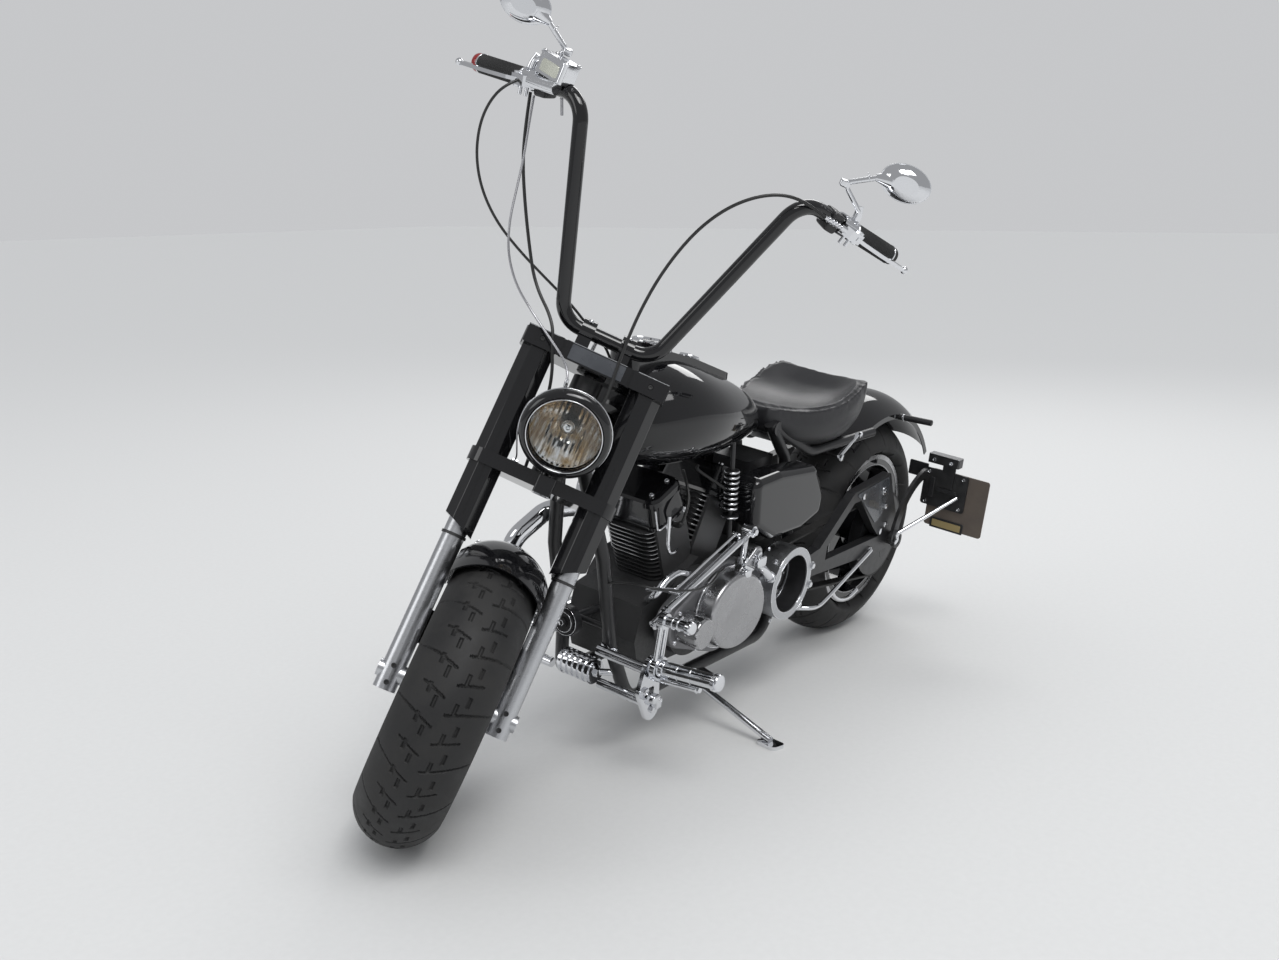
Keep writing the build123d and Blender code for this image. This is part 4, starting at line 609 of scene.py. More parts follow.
def saddleSection(share, v):
    # half width, rim, dish and lower line follow the stations; the top is a cubic dish between the
    # rims, the flanks fall steeply as low powers of the sine and cosine, and both ends close
    stations = np.array([saddle[key] for key in ("ahead", "half", "rim", "dish", "low")]).T
    curve = smoothLine(stations, 400)
    spot = np.clip(share, 0, 1) * 399
    ahead, half, rim, dish, low = (np.interp(spot, np.arange(400), curve[:, k]) for k in range(5))
    c, s = np.cos(v), np.sin(v)
    top = dish + (rim - dish) * np.abs(c) ** 3
    flank = rim - (rim - low) * np.abs(s) ** 0.75
    y = half * np.where(s < 0, np.sign(c) * np.abs(c) ** 0.45 * (1 - 0.12 * np.abs(s) ** 3), c)
    return ahead, y, np.where(s >= 0, top, flank), (rim + low) / 2


def saddleGrid():
    u = np.linspace(0, 1, saddle["rows"])
    v = np.linspace(0, 2 * np.pi, saddle["around"], endpoint=False)
    U, V = np.meshgrid(u, v, indexing="ij")
    ahead, y, z, middle = saddleSection(U, V)
    # ends: sections shrink to a pole along a quarter ellipse
    near = np.minimum(U / saddle["noseRound"], (1 - U) / saddle["backRound"])
    shrink = np.sqrt(np.clip(1 - (1 - np.clip(near, 0, 1)) ** 2, 0, 1))
    y = y * shrink
    z = middle + (z - middle) * shrink
    points = np.stack([ahead, y, z], -1)
    # every point drawn in towards its section's middle, to leave room for the filling
    way = points - np.stack([ahead, 0 * y, middle], -1)
    length = np.linalg.norm(way, axis=-1, keepdims=True)
    return points - way / np.maximum(length, 1e-6) * np.minimum(saddle["shrink"], length)


def bakeMesh(piece):
    # the modifiers' result becomes the piece's own mesh
    graph = bpy.context.evaluated_depsgraph_get()
    mesh = bpy.data.meshes.new_from_object(piece.evaluated_get(graph))
    piece.modifiers.clear()
    old = piece.data
    piece.data = mesh
    mesh.name = old.name
    mesh.shade_smooth()


def meshPoints(piece):
    flat = np.empty(3 * len(piece.data.vertices))
    piece.data.vertices.foreach_get("co", flat)
    return flat.reshape(-1, 3)


def fillCushion(piece):
    # cloth under pressure swells the leather, held back to a few millimetres
    before = meshPoints(piece)
    cloth = piece.modifiers.new("fill", "CLOTH")
    cloth.settings.use_pressure = True
    cloth.settings.uniform_pressure_force = saddle["pressure"]
    cloth.settings.effector_weights.gravity = 0
    scene = bpy.context.scene
    for step in range(1, saddle["steps"] + 1):
        scene.frame_set(step)
    bakeMesh(piece)
    scene.frame_set(1)
    move = meshPoints(piece) - before
    far = np.linalg.norm(move, axis=1, keepdims=True)
    move *= np.minimum(1, saddle["cap"] / np.maximum(far, 1e-9))
    piece.data.vertices.foreach_set("co", (before + move).ravel())
    piece.data.update()


def makeSaddle():
    faces = gridFaces(saddle["rows"], saddle["around"], wrapColumns=True)
    piece = finishMesh("saddle_leather", saddleGrid().reshape(-1, 3), faces, look["seatLeather"], "chassis", upright)
    bpy.context.view_layer.objects.active = piece
    remesh = piece.modifiers.new("voxels", "REMESH")
    remesh.mode = "VOXEL"
    remesh.voxel_size = saddle["voxel"]
    remesh.use_smooth_shade = True
    bakeMesh(piece)
    fillCushion(piece)
    smooth = piece.modifiers.new("smooth", "SUBSURF")
    smooth.levels = smooth.render_levels = 1
    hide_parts("seat")


makeSaddle()
print("saddle made")

# Small repeated shapes


def addPiece(name, shapes, finish, body="chassis", place=upright):
    points, faces = joinShapes(shapes)
    finishMesh(name, points, faces, look[finish], body, place)


def addFront(name, shapes, finish):
    # a piece that turns with the bars
    addPiece(name, shapes, finish, "steering", steered)


def bentRod(points, radius, count=40, sides=14):
    # a round rod on a smooth line through points
    return alongPath(smoothLine(points, count), radius, sides)


def ringOf(profile, centre, way, steps=64):
    # a closed profile of (radius, height) pairs turned about a way, open in the middle
    return turned(profile, centre, way, steps), gridFaces(len(profile), steps, wrapRows=True, wrapColumns=True)


def hoop(radius, wire, centre, way, steps=64):
    # a round wire bent to a ring
    turn = np.linspace(0, 2 * np.pi, 10, endpoint=False)
    return ringOf(np.stack([radius + wire * np.cos(turn), wire * np.sin(turn)], 1), centre, way, steps)


def band(inner, outer, low, high, centre, way, steps=64, edge=0.0006):
    # flat ring with chamfered outer edges
    return ringOf([(inner, low), (outer - edge, low), (outer, low + edge), (outer, high - edge),
                   (outer - edge, high), (inner, high)], centre, way, steps)


def closedWire(path, radius, normal, sides=6):
    # a circle carried round a flat closed path, in the plane of the path's side way and its normal
    path, normal = np.asarray(path, float), unit(normal)
    way = np.roll(path, -1, 0) - np.roll(path, 1, 0)
    way /= np.linalg.norm(way, axis=1)[:, None]
    aside = np.cross(way, normal)[:, None]
    angle = np.linspace(0, 2 * np.pi, sides, endpoint=False)[None, :, None]
    points = path[:, None] + radius * (np.cos(angle) * aside + np.sin(angle) * normal)
    return points.reshape(-1, 3), gridFaces(len(path), sides, wrapRows=True, wrapColumns=True)


def ellipse(long, high, steps=64, turn=0.0):
    # half lengths times the cosine and sine of each step's angle, then all turned by an angle
    angle = np.linspace(0, 2 * np.pi, steps, endpoint=False)
    x, y = long * np.cos(angle), high * np.sin(angle)
    return np.stack([x * np.cos(turn) - y * np.sin(turn), x * np.sin(turn) + y * np.cos(turn)], 1)


def rectangle(wide, high, corner, steps=6):
    x, y = wide / 2, high / 2
    return roundCorners([(-x, -y), (x, -y), (x, y), (-x, y)], corner, steps)


def around(centre, first, second, radius, count, start=0.0):
    # places on a circle in the plane of two ways
    angle = start + np.linspace(0, 2 * np.pi, count, endpoint=False)[:, None]
    return np.asarray(centre) + radius * (np.cos(angle) * first + np.sin(angle) * second)


fore, left, above = np.eye(3)
frontWays = (left, above, fore)  # plates whose face looks ahead

# Headlight: reflector with vertical flutes, bulb cap, bright hoops as painted highlights, plug and loops of wire
headlamp = {
    "centre": (0, 0, 0.862),
    "pole": 1.415,
    "curve": 11.14,
    "inner": 0.0105,
    "outer": 0.0756,
    "flute": 0.011,
    "fluteDeep": 0.0011,
    "thick": 0.0012,
    "wireAhead": 1.44,
    "fadeIn": (0.018, 0.006),
    "fadeOut": (0.075, 0.003),
    "rows": 70,
    "columns": 360,
    "rightLead": ((1.436, -0.071, 0.738), (1.434, -0.094, 0.731), (1.425, -0.108, 0.733), (1.408, -0.112, 0.744),
                  (1.385, -0.105, 0.752), (1.368, -0.098, 0.748)),
    "leftLead": ((1.438, -0.066, 0.737), (1.434, -0.05, 0.728), (1.43, -0.03, 0.727), (1.432, -0.012, 0.735)),
}


def makeReflectorBowl():
    # a paraboloid, pole + curve * radius squared, set back by flutes that follow the sideways place
    rows, columns = headlamp["rows"], headlamp["columns"]
    radius = np.linspace(headlamp["inner"], headlamp["outer"], rows)
    angle = np.linspace(0, 2 * np.pi, columns, endpoint=False)
    R, A = np.meshgrid(radius, angle, indexing="ij")
    y, z = R * np.cos(A), R * np.sin(A)
    flute = np.abs(y / headlamp["flute"] % 1 - 0.5) * 2
    (inAt, inLong), (outAt, outLong) = headlamp["fadeIn"], headlamp["fadeOut"]
    fade = np.clip((R - inAt) / inLong, 0, 1) * np.clip((outAt - R) / outLong, 0, 1)
    front = headlamp["pole"] + headlamp["curve"] * R**2 + headlamp["fluteDeep"] * flute * fade
    x = np.concatenate([front, front[::-1] - headlamp["thick"]])
    y, z = np.concatenate([y, y[::-1]]), np.concatenate([z, z[::-1]])
    points = np.stack([x, y, z + headlamp["centre"][2]], -1)
    faces = gridFaces(2 * rows, columns, wrapRows=True, wrapColumns=True)
    finishMesh("headlamp_reflector", points.reshape(-1, 3), faces, look["lampReflector"], "steering", steered)


def makeHeadlampTrim():
    axis = np.array(headlamp["centre"])
    bulb = [lathe([(0.0134, 1.4344), (0.0137, 1.4362), (0.0137, 1.4422), (0.0126, 1.4436), (0.0118, 1.4424),
                   (0.0094, 1.4494), (0.008, 1.4506), (0.0045, 1.45), (0.003, 1.4512), (0, 1.4514)],
                  axis, fore, 40), hoop(0.0107, 0.0007, axis + 1.4456 * fore, fore)]
    addFront("bulb_cap", bulb, "chrome")
    # painted highlights: a fine chrome ring round the glass and one in the seam of rim and bucket, where the rim
    # catches light
    rings = [hoop(0.0782, 0.0011, axis + 1.5028 * fore, fore, 96),
             hoop(0.0957, 0.0013, axis + 1.4806 * fore, fore, 96)]
    addFront("headlamp_highlight_rings", rings, "chrome")
    loop = np.array([(-0.091, 0.882), (-0.0955, 0.866), (-0.0965, 0.835), (-0.0915, 0.806), (-0.082, 0.78),
                     (-0.073, 0.757), (-0.072, 0.744)])
    loop = np.insert(loop, 0, headlamp["wireAhead"], axis=1)
    addFront("headlamp_wire", [bentRod(loop, 0.0017, sides=10)], "cableSilver")
    plug = [roundedBlock((1.44, -0.0715, 0.74), (0.006, 0.008, 0.006)),
            lathe([(0.0036, 0), (0.0042, 0.002), (0.0042, 0.016), (0.003, 0.018)], (1.4385, -0.0415, 0.955),
                  (0.22, 0.14, -1.0), 16)]
    addFront("headlamp_plugs", plug, "chrome")
    leads = [bentRod(headlamp["rightLead"], 0.0021, 40, 10), bentRod(headlamp["leftLead"], 0.0021, 30, 10)]
    addFront("headlamp_leads", leads, "cableBlack")


makeReflectorBowl()
makeHeadlampTrim()
print("headlight dressed")

# Fork: clamp bolts and plate, riser screws, stem nut, pinch screws and axle rings
fork = {
    "clampBolt": (0.037, 0.747),
    "plate": (0.122, 0.034, 0.0012),
    # radius of the thin chrome rods that paint highlights along the clamp's edges
    "edge": 0.0009,
    "riser": 0.045,
    "riserScrew": 0.0185,
    "stemNut": -0.037,
    "axleEnd": 0.1522,
    "faceBolts": (0.0232, (-0.022, 0.014)),
    # spans of those painted edge highlights across the clamp
    "highlightRuns": ((-0.062, 0.062), (0.088, 0.158), (-0.158, -0.088)),
    "guardBolts": (0.11, (0.216, 0.229)),
    "caliperBolts": (0.1083, (0.09, 0.128)),
    "sealHigh": 0.3,
}


def makeForkTrim():
    ahead, high = fork["clampBolt"]
    bolts = [socketHead(inFork(ahead, side * machine["legHalf"], high), forkAhead, 0.0052, 0.0042) for side in (1, -1)]
    face, heights = fork["faceBolts"]
    bolts += [socketHead(inFork(face, side * machine["legHalf"], up), forkAhead, 0.0055, 0.005)
              for side in (1, -1) for up in heights]
    addFront("fork_bolts", bolts, "darkMetal")
    wide, tall, thick = fork["plate"]
    # the clamp's raised centre plate, its slate colour a painted sky sheen on the gloss black
    plate = cutPlate(rectangle(wide, tall, 0.002), thick, inFork(0.0424, 0, high), (sideways, forkUp, forkAhead))
    addFront("clamp_plate", [plate], "paintedSheen")
    # painted highlights: thin chrome rods along the clamp's top front edges, where the gloss black bevel catches light
    edges = [straightRod(inFork(0.042, near, 0.7664), inFork(0.042, far, 0.7664), fork["edge"], 0.0002, 8)
             for near, far in fork["highlightRuns"]]
    addFront("clamp_edge_highlights", edges, "chrome")
    screws = [socketHead(inFork(0.003 + reach, side * fork["riser"], 0.8245), forkUp, 0.0052, 0.0058)
              for side in (1, -1) for reach in (-fork["riserScrew"], fork["riserScrew"])]
    stemTop = machine["coverTop"] + machine["clampHigh"]
    screws.append(hexHead(inFork(fork["stemNut"], 0, stemTop), forkUp, 0.019, 0.011))
    addFront("riser_screws", screws, "chrome")
    # open nuts with a washer at both ends of the hollow axle
    nut = [(0.0067, -0.004), (0.0155, -0.004), (0.0155, -0.0006), (0.0146, 0.0002), (0.0067, 0.0002)]
    rings = [ringOf(nut, frontHub + [0, side * fork["axleEnd"], 0], side * sideways, 6) for side in (1, -1)]
    addFront("axle_nuts", rings, "chrome")
    guardSide, guardHeights = fork["guardBolts"]
    caliperSide, caliperHeights = fork["caliperBolts"]
    fixings = []
    for side in (1, -1):
        fixings += [socketHead(inFork(-0.0105, side * guardSide, up), forkAhead, 0.005, 0.005) for up in guardHeights]
        fixings += [hexHead(inFork(-0.078, side * caliperSide, up), side * sideways, 0.0075, 0.005)
                    for up in caliperHeights]
    addFront("guard_and_caliper_bolts", fixings, "chrome")
    seals = [band(0.0238, 0.0268, 0, 0.006, inFork(0, side * machine["legHalf"], fork["sealHigh"]), forkUp)
             for side in (1, -1)]
    addFront("slider_seals", seals, "darkMetal")


makeForkTrim()
print("fork dressed")

# Handlebar ends: places along the grip, ahead of it and above it, mirrored for the right side
barEnd = {
    "start": np.array([1.1484, 0.3581, 1.4197]),
    "along": unit([-0.581, 0.792, -0.187]),
    "ahead": unit([0.814, 0.565, -0.1335]),
    "above": unit([0.0, 0.23, 0.973]),
    "ribs": 24,
    "ribHigh": 0.0006,
    "grip": (0.031, 0.155, 0.02),  # first rib, last rib, radius
    "mirror": np.array([0, 0.432, 1.552]),
    "mirrorFaces": (1.1394, 1.1481),  # glass, seam of the shell
    "jar": (0.048, 0.04, 0.005),  # depth, height, lid
}


def onBar(along, ahead=0.0, high=0.0, side=1):
    place = barEnd["start"] + along * barEnd["along"] + ahead * barEnd["ahead"] + high * barEnd["above"]
    return place * [1, side, 1]


def barWay(name, side=1):
    return barEnd[name] * [1, side, 1]


def makeBarEnd(side, label):
    along, ahead, high = (barWay(key, side) for key in ("along", "ahead", "above"))
    # ribs: the sleeve's radius rises and falls with a rounded square wave along the grip
    first, last, radius = barEnd["grip"]
    height = np.linspace(first, last, 8 * barEnd["ribs"] + 1)
    wave = np.clip(3 * np.sin((height - first) / (last - first) * 2 * np.pi * barEnd["ribs"]), -1, 1)
    sleeve = np.stack([radius + barEnd["ribHigh"] * wave, height], 1)
    addFront("grip_ribs_" + label, [lathe(sleeve, onBar(0, side=side), along, 40)], "gripRubber")
    rings = [band(0.0186, 0.0214, 0.0255, 0.0305, onBar(0, side=side), along, 48),
             band(0.0186, 0.0213, 0.1552, 0.1592, onBar(0, side=side), along, 48)]
    addFront("grip_rings_" + label, rings, "chrome")
    tilt = unit(0.5 * ahead + 0.86 * high)
    bolts = [socketHead(onBar(reach, side=side) + 0.0222 * tilt, tilt, 0.0042, 0.0045) for reach in (-0.014, 0.012)]
    bolts += [hexHead(onBar(0.016, 0.034, 0.0108, side), high, 0.0082, 0.0045),
              hexHead(onBar(0.016, 0.034, -0.0108, side), -high, 0.007, 0.0055)]
    bolts += [straightRod(onBar(reach, 0.03, -0.009, side), onBar(reach - 0.002, 0.033, -0.03, side), 0.0042)
              for reach in (-0.012, 0.006)]
    bolts += [hoop(0.0055, 0.0012, onBar(-reach, 0.034, 0, side), along, 24) for reach in (0.05, 0.06, 0.07, 0.082)]
    addFront("lever_bolts_" + label, bolts, "chrome")
    # switch block inboard of the lever clamp, with its buttons
    ways, middle = (along, ahead, high), onBar(-0.041 - 0.004 * side, 0, -0.004, side)
    addFront("switch_block_" + label, [roundedBlock(middle, (0.0165, 0.0215, 0.0225), ways, 0.3)], "satinBlack")
    buttons = [roundedBlock(onBar(-0.036 - 0.01 * step, -0.0215, 0.004 - 0.006 * step, side),
                            (0.0035, 0.0025, 0.005), ways, 0.3, 10) for step in (0, 1)]
    addFront("switch_buttons_" + label, buttons, "satinChrome")
    mirror = barEnd["mirror"] * [1, side, 1]
    glassAt, seamAt = barEnd["mirrorFaces"]
    glass = cutPlate(ellipse(0.0512, 0.0342), 0.001, mirror + [glassAt, 0, 0], frontWays, 0.0003)
    addFront("mirror_glass_" + label, [glass], "mirrorGlass")
    seam = mirror + [seamAt, 0, 0] + ellipse(0.0552, 0.0382) @ [left, above]
    addFront("mirror_rim_" + label, [closedWire(seam, 0.0008, fore)], "chrome")
    foot = onBar(0.014, 0, 0.019, side)
    stem = smoothLine([foot + [0, 0, 0.001], foot + [0, 0, 0.016], foot + [0, -side * 0.004, 0.034]], 14)
    knuckle = [alongPath(stem, np.linspace(0.0105, 0.008, 14), 20, 0.45, fore),
               roundedBlock((1.146, side * 0.316, 1.5), (0.008, 0.0095, 0.0085), square=0.5),
               hoop(0.0072, 0.0014, (1.1502, side * 0.357, 1.5335), (0.1, side * 0.78, 0.6), 24)]
    addFront("mirror_joint_" + label, knuckle, "chrome")


def makeJar():
    # fluid jar on the right: four dome screws on the lid, and ahead a flat pale plate that paints the reflection on
    # its front face
    along = unit(barEnd["along"] * [1, -1, 0])
    ahead = unit([-along[1], along[0], 0])
    deep, tall, lid = barEnd["jar"]
    foot = onBar(-0.062, 0.014, 0, -1) + [0, 0, 0.017]
    dome = [(0.0046, 0), (0.0046, 0.001), (0.0036, 0.0026), (0.0018, 0.0033), (0, 0.0035)]
    screws = [lathe(dome, foot + [0, 0, tall + lid - 0.0002] + x * along + y * ahead, above, 18)
              for x in (-0.033, 0.033) for y in (-0.018, 0.018)]
    addFront("jar_screws", screws, "satinChrome")
    reflectionPlate = cutPlate(rectangle(0.052, 0.026, 0.007), 0.0014, foot + [0, 0, 0.019] + (deep / 2 + 0.0004) * ahead,
                      (along, above, ahead))
    addFront("jar_painted_reflection", [reflectionPlate], "paintedJarReflection")
    rod = [straightRod((1.1805, -0.296, 1.433), (1.18, -0.275, 1.384), 0.0032),
           hoop(0.0034, 0.001, (1.1803, -0.288, 1.4145), (0, 0.4, -0.92), 20)]
    addFront("pressure_switch", rod, "cableSilver")
    end = [(0.02, 0.1592), (0.0204, 0.1602), (0.0204, 0.169), (0.019, 0.1724), (0.012, 0.1738), (0, 0.174)]
    addFront("red_bar_end", [lathe(end, onBar(0, side=-1), barWay("along", -1), 40)], "redLens")
    warning = [lathe([(0.0095, 0), (0.0095, 0.004), (0.0086, 0.01), (0.006, 0.014), (0, 0.0158)],
                     (1.258, 0.014, 1.007), above, 24)]
    addFront("warning_lamp", warning, "redLens")
    bracket = [straightRod((1.256, -0.024, 1.0035), (1.256, 0.03, 1.0035), 0.0046),
               straightRod((1.256, -0.018, 1.0035), (1.264, -0.02, 0.958), 0.0042)]
    addFront("warning_bracket", bracket, "chrome")


makeBarEnd(1, "left")
makeBarEnd(-1, "right")
makeJar()
print("handlebar dressed")

# Brake discs and wheels: drilled bands, button bolts, polished lips, valves
discs = {
    "front": {"hub": frontHub, "faces": ((0.0825, 1), (0.0775, -1), (-0.0775, 1), (-0.0825, -1)),
              "buttons": 0.0995, "tall": 0.0009},
    "rear": {"hub": backHub, "faces": ((-0.11, -1),), "buttons": 0.07, "tall": 0.0036},
    "rows": ((0.113, 24), (0.126, 24), (0.139, 24)),
    "hole": 0.0032,
    "outerFaces": 0.08,
    "lip": (0.213, 0.2267, 0.0012),
    "well": 0.1965,
    "rim": {"front": 0.07, "rear": 0.082},
}


def makeDiscTrim(name, body, place):
    spec = discs[name]
    holes, buttons = [], []
    for side, way in spec["faces"]:
        middle = spec["hub"] + [0, side, 0]
        for row, (radius, count) in enumerate(discs["rows"]):
            holes += [lathe([(discs["hole"], 0), (discs["hole"] * 0.9, 0.0003), (0, 0.0003)], spot, (0, way, 0), 8)
                      for spot in around(middle, fore, above, radius, count, row * 0.087)]
        if abs(side) > discs["outerFaces"]:
            # flat heads in front, as the caliper's slot leaves 1.2 mm beside the disc
            tall = spec["tall"]
            head = [(0.0062, 0), (0.0062, tall / 3), (0.0048, tall * 0.83), (0, tall)]
            buttons += [lathe(head, spot, (0, way, 0), 16)
                        for spot in around(middle, fore, above, spec["buttons"], 6, 0.26)]
    addPiece(name + "_disc_holes", holes, "darkMetal", body, place)
    addPiece(name + "_disc_buttons", buttons, "chrome", body, place)
    inner, outer, thick = discs["lip"]
    half = discs["rim"][name]
    lips = []
    for side in (1, -1):
        lips += [band(inner, outer, half, half + thick, spec["hub"], (0, side, 0), 96),
                 hoop(discs["well"], 0.0016, spec["hub"] + [0, side * (half - 0.0005), 0], (0, side, 0), 96)]
    addPiece(name + "_rim_lips", lips, "discSteel", body, place)
    valve = spec["hub"] + [0.15, half * 0.35, 0.125]
    stem = straightRod(valve, valve + [-0.03, 0.006, -0.025], 0.004, sides=14)
    addPiece(name + "_valve", [stem], "chrome", body, place)


makeDiscTrim("front", "front_wheel_set", steered)
makeDiscTrim("rear", "rear_wheel_set", upright)
pulleyFace = backHub + [0, 0.138, 0]
pulleyHoles = [lathe([(0.019, 0), (0.0185, 0.0004), (0, 0.0004)], spot, left, 28)
               for spot in around(pulleyFace, fore, above, 0.083, 5, 0.3)]
addPiece("rear_pulley_holes", pulleyHoles, "darkMetal", "rear_wheel_set")
pulleyBolts = [hexHead(spot, left, 0.0085, 0.0055) for spot in around(pulleyFace, fore, above, 0.045, 5)]
addPiece("rear_pulley_bolts", pulleyBolts, "chrome", "rear_wheel_set")
print("wheels dressed")

# Engine: bright fin edges, rocker bolts, spark plugs and leads
engine = {
    "crank": np.array([0.915, 0, 0.33]),
    "halfVee": np.radians(24.0),
    "barrelLow": 0.118,
    "fins": 12,
    "pitch": 0.0126,
    "finFoot": 0.006,
    "finHalf": (0.0748, 0.0718),
    "finCorner": 0.034,
    "rockerLow": 0.2695,
    "lidHigh": 0.078,
}


def barrelFrame(way):
    # fore and up ways of the cylinder leaning ahead (1) or back (-1)
    tilt = way * engine["halfVee"]
    return np.array([np.cos(tilt), 0, -np.sin(tilt)]), np.array([np.sin(tilt), 0, np.cos(tilt)])


def onBarrel(way, ahead, side, high):
    foreBarrel, upBarrel = barrelFrame(way)
    return engine["crank"] + ahead * foreBarrel + side * sideways + high * upBarrel


def makeBarrelTrim(way, label):
    foreBarrel, upBarrel = barrelFrame(way)
    halfLong, halfWide = engine["finHalf"]
    outline = rectangle(2 * halfLong, 2 * halfWide, engine["finCorner"], 8)
    edges = []
    for n in range(engine["fins"]):
        middle = onBarrel(way, 0, 0, engine["barrelLow"] + engine["finFoot"] + n * engine["pitch"])
        path = middle + outline[:, :1] * foreBarrel + outline[:, 1:] * sideways
        # fins that the cut between the two barrels reaches get no edge line
        inside = way * (path[:, 0] - engine["crank"][0]) > 0.0055
        if inside.all():
            edges.append(closedWire(path, 0.001, upBarrel))
    addPiece("fin_edges_" + label, edges, "satinChrome")
    top = engine["rockerLow"] + engine["lidHigh"]
    bolts = [socketHead(onBarrel(way, x, y, top - 0.0006), upBarrel, 0.0062, 0.006)
             for x in (-0.03, 0.03) for y in (-0.058, 0.058)]
    bolts += [hexHead(onBarrel(way, x, 0.0895, engine["rockerLow"] + 0.004), left, 0.0075, 0.005)
              for x in (-0.034, 0.034)]
    addPiece("rocker_bolts_" + label, bolts, "chrome")
    hexBody = [(0.0105, 0), (0.0105, 0.01), (0.008, 0.012), (0.008, 0.018)]
    plug = lathe(hexBody, onBarrel(way, 0.008, 0.074, 0.256), (0, 1, 0.15), 6)
    addPiece("spark_plug_" + label, [plug], "chrome")
    start = onBarrel(way, 0.008, 0.0915, 0.259)
    end = np.array([0.955 + 0.03 * way, 0.07, 0.684])
    route = [start, start + [0, 0.016, 0.004], start + [0, 0.026, 0.028], (start + end) / 2 + [0, 0.028, 0.006],
             end + [0, 0.006, -0.012], end]
    radius = np.where(np.arange(50) < 14, 0.0068, 0.0036)  # the boot is thicker than the lead
    addPiece("plug_lead_" + label, [bentRod(route, radius, 50)], "cableBlack")
    collars = [band(0.007, 0.0105, 0, 0.01, onBarrel(way, x, -0.082, high), upBarrel, 24)
               for x in (-0.02, 0.02) for high in (0.11, 0.18, 0.2555)]
    addPiece("pushrod_collars_" + label, collars, "chrome")


makeBarrelTrim(1, "front")
makeBarrelTrim(-1, "rear")
# painted highlight: a chrome line along the front head's left corner, bent at the box's foot, where the gloss black
# box catches light
corner = [onBarrel(1, 0.052, 0.08, 0.325), onBarrel(1, 0.0605, 0.085, 0.2815), onBarrel(1, 0.06, 0.0862, 0.279),
          onBarrel(1, 0.056, 0.0905, 0.2778), onBarrel(1, 0.02, 0.091, 0.2778)]
addPiece("head_corner_highlight", [alongPath(smoothLine(corner, 40), 0.0022, 10)], "chrome")
print("cylinders dressed")

# Left covers: screws round the primary case, egg cover's bright edge, pulley nut, oil pipe and linkage
covers = {
    "egg": (0.883, 0.346),
    "eggHalf": (0.124, 0.098),
    "eggTurn": np.radians(-15.0),
    "pulley": (0.62, 0.349),
    "primaryFace": 0.166,
    "screws": ((1.075, 0.378), (0.997, 0.452), (0.7, 0.452), (0.64, 0.24), (0.76, 0.236), (0.985, 0.262),
               (1.084, 0.306)),
    "elbow": ((0.77, 0.176, 0.436), (0.758, 0.19, 0.42), (0.735, 0.197, 0.398), (0.716, 0.192, 0.384)),
    "finger": ((0.88, 0.206, 0.462), (0.862, 0.21, 0.452), (0.846, 0.208, 0.444), (0.834, 0.204, 0.44)),
}


def atSide(spot, side):
    return np.array([spot[0], side, spot[1]])


def makeCoverTrim():
    screws = [socketHead(atSide(spot, covers["primaryFace"] - 0.0006), left, 0.0056, 0.005)
              for spot in covers["screws"]]
    screws += [hexHead(atSide(spot, 0.196), left, size, 0.006)
               for spot, size in (((0.895, 0.401), 0.0105), ((0.843, 0.43), 0.0125), ((0.798, 0.468), 0.01))]
    screws += [hexHead(atSide((0.522, 0.349 + up), 0.2038), left, 0.0085, 0.006) for up in (-0.026, 0.026)]
    screws += [hexHead(atSide((0.554, 0.273), 0.1978), left, 0.009, 0.006)]
    addPiece("cover_screws", screws, "chrome")
    long, high = covers["eggHalf"]
    loops = []
    for grow, side, wire in ((0.0062, 0.1725, 0.0013), (-0.0105, 0.212, 0.0012)):
        ring = ellipse(long + grow, high + grow, 96, covers["eggTurn"])
        path = np.stack([covers["egg"][0] + ring[:, 0], np.full(96, side), covers["egg"][1] - ring[:, 1]], 1)
        loops.append(closedWire(path, wire, left, 8))
    addPiece("egg_cover_edges", loops, "chrome")
    pulley = covers["pulley"]
    # painted shade: the pulley face and a lining inside the ring cover are satin black for the shade inside the cover
    inside = [lathe([(0.0765, 0), (0.0765, 0.002), (0.06, 0.004), (0.036, 0.004), (0.034, 0.01), (0, 0.01)],
                    atSide(pulley, 0.144), left, 72),
              ringOf([(0.0752, -0.052), (0.0769, -0.052), (0.0769, 0), (0.0752, 0)], atSide(pulley, 0.201), left, 72)]
    addPiece("pulley_cover_shade", inside, "satinBlack")
    nut = [hexHead(atSide(pulley, 0.154), left, 0.0215, 0.014)]
    nut += [hexHead(spot, left, 0.0065, 0.005) for spot in around(atSide(pulley, 0.1478), fore, above, 0.05, 6)]
    nut += [hoop(radius, wire, atSide(pulley, 0.2036), left, 96)
            for radius, wire in ((0.0962, 0.0011), (0.0772, 0.0012))]
    addPiece("pulley_nut_and_edges", nut, "chrome")
    # polished coupling between egg cover and pulley ring
    elbow = smoothLine(covers["elbow"], 24)
    coupling = [alongPath(elbow, 0.011, 20)]
    coupling += [band(0.01, 0.015, 0, 0.01, elbow[n], elbow[n + 1] - elbow[n], 28) for n in (3, 18)]
    coupling += [roundedBlock((0.798, 0.2035, 0.452), (0.019, 0.009, 0.014), square=0.4),
                 roundedBlock((0.862, 0.2045, 0.437), (0.015, 0.01, 0.012), square=0.4),
                 bentRod(covers["finger"], 0.0055, 20)]
    addPiece("lever_castings", coupling, "chrome")


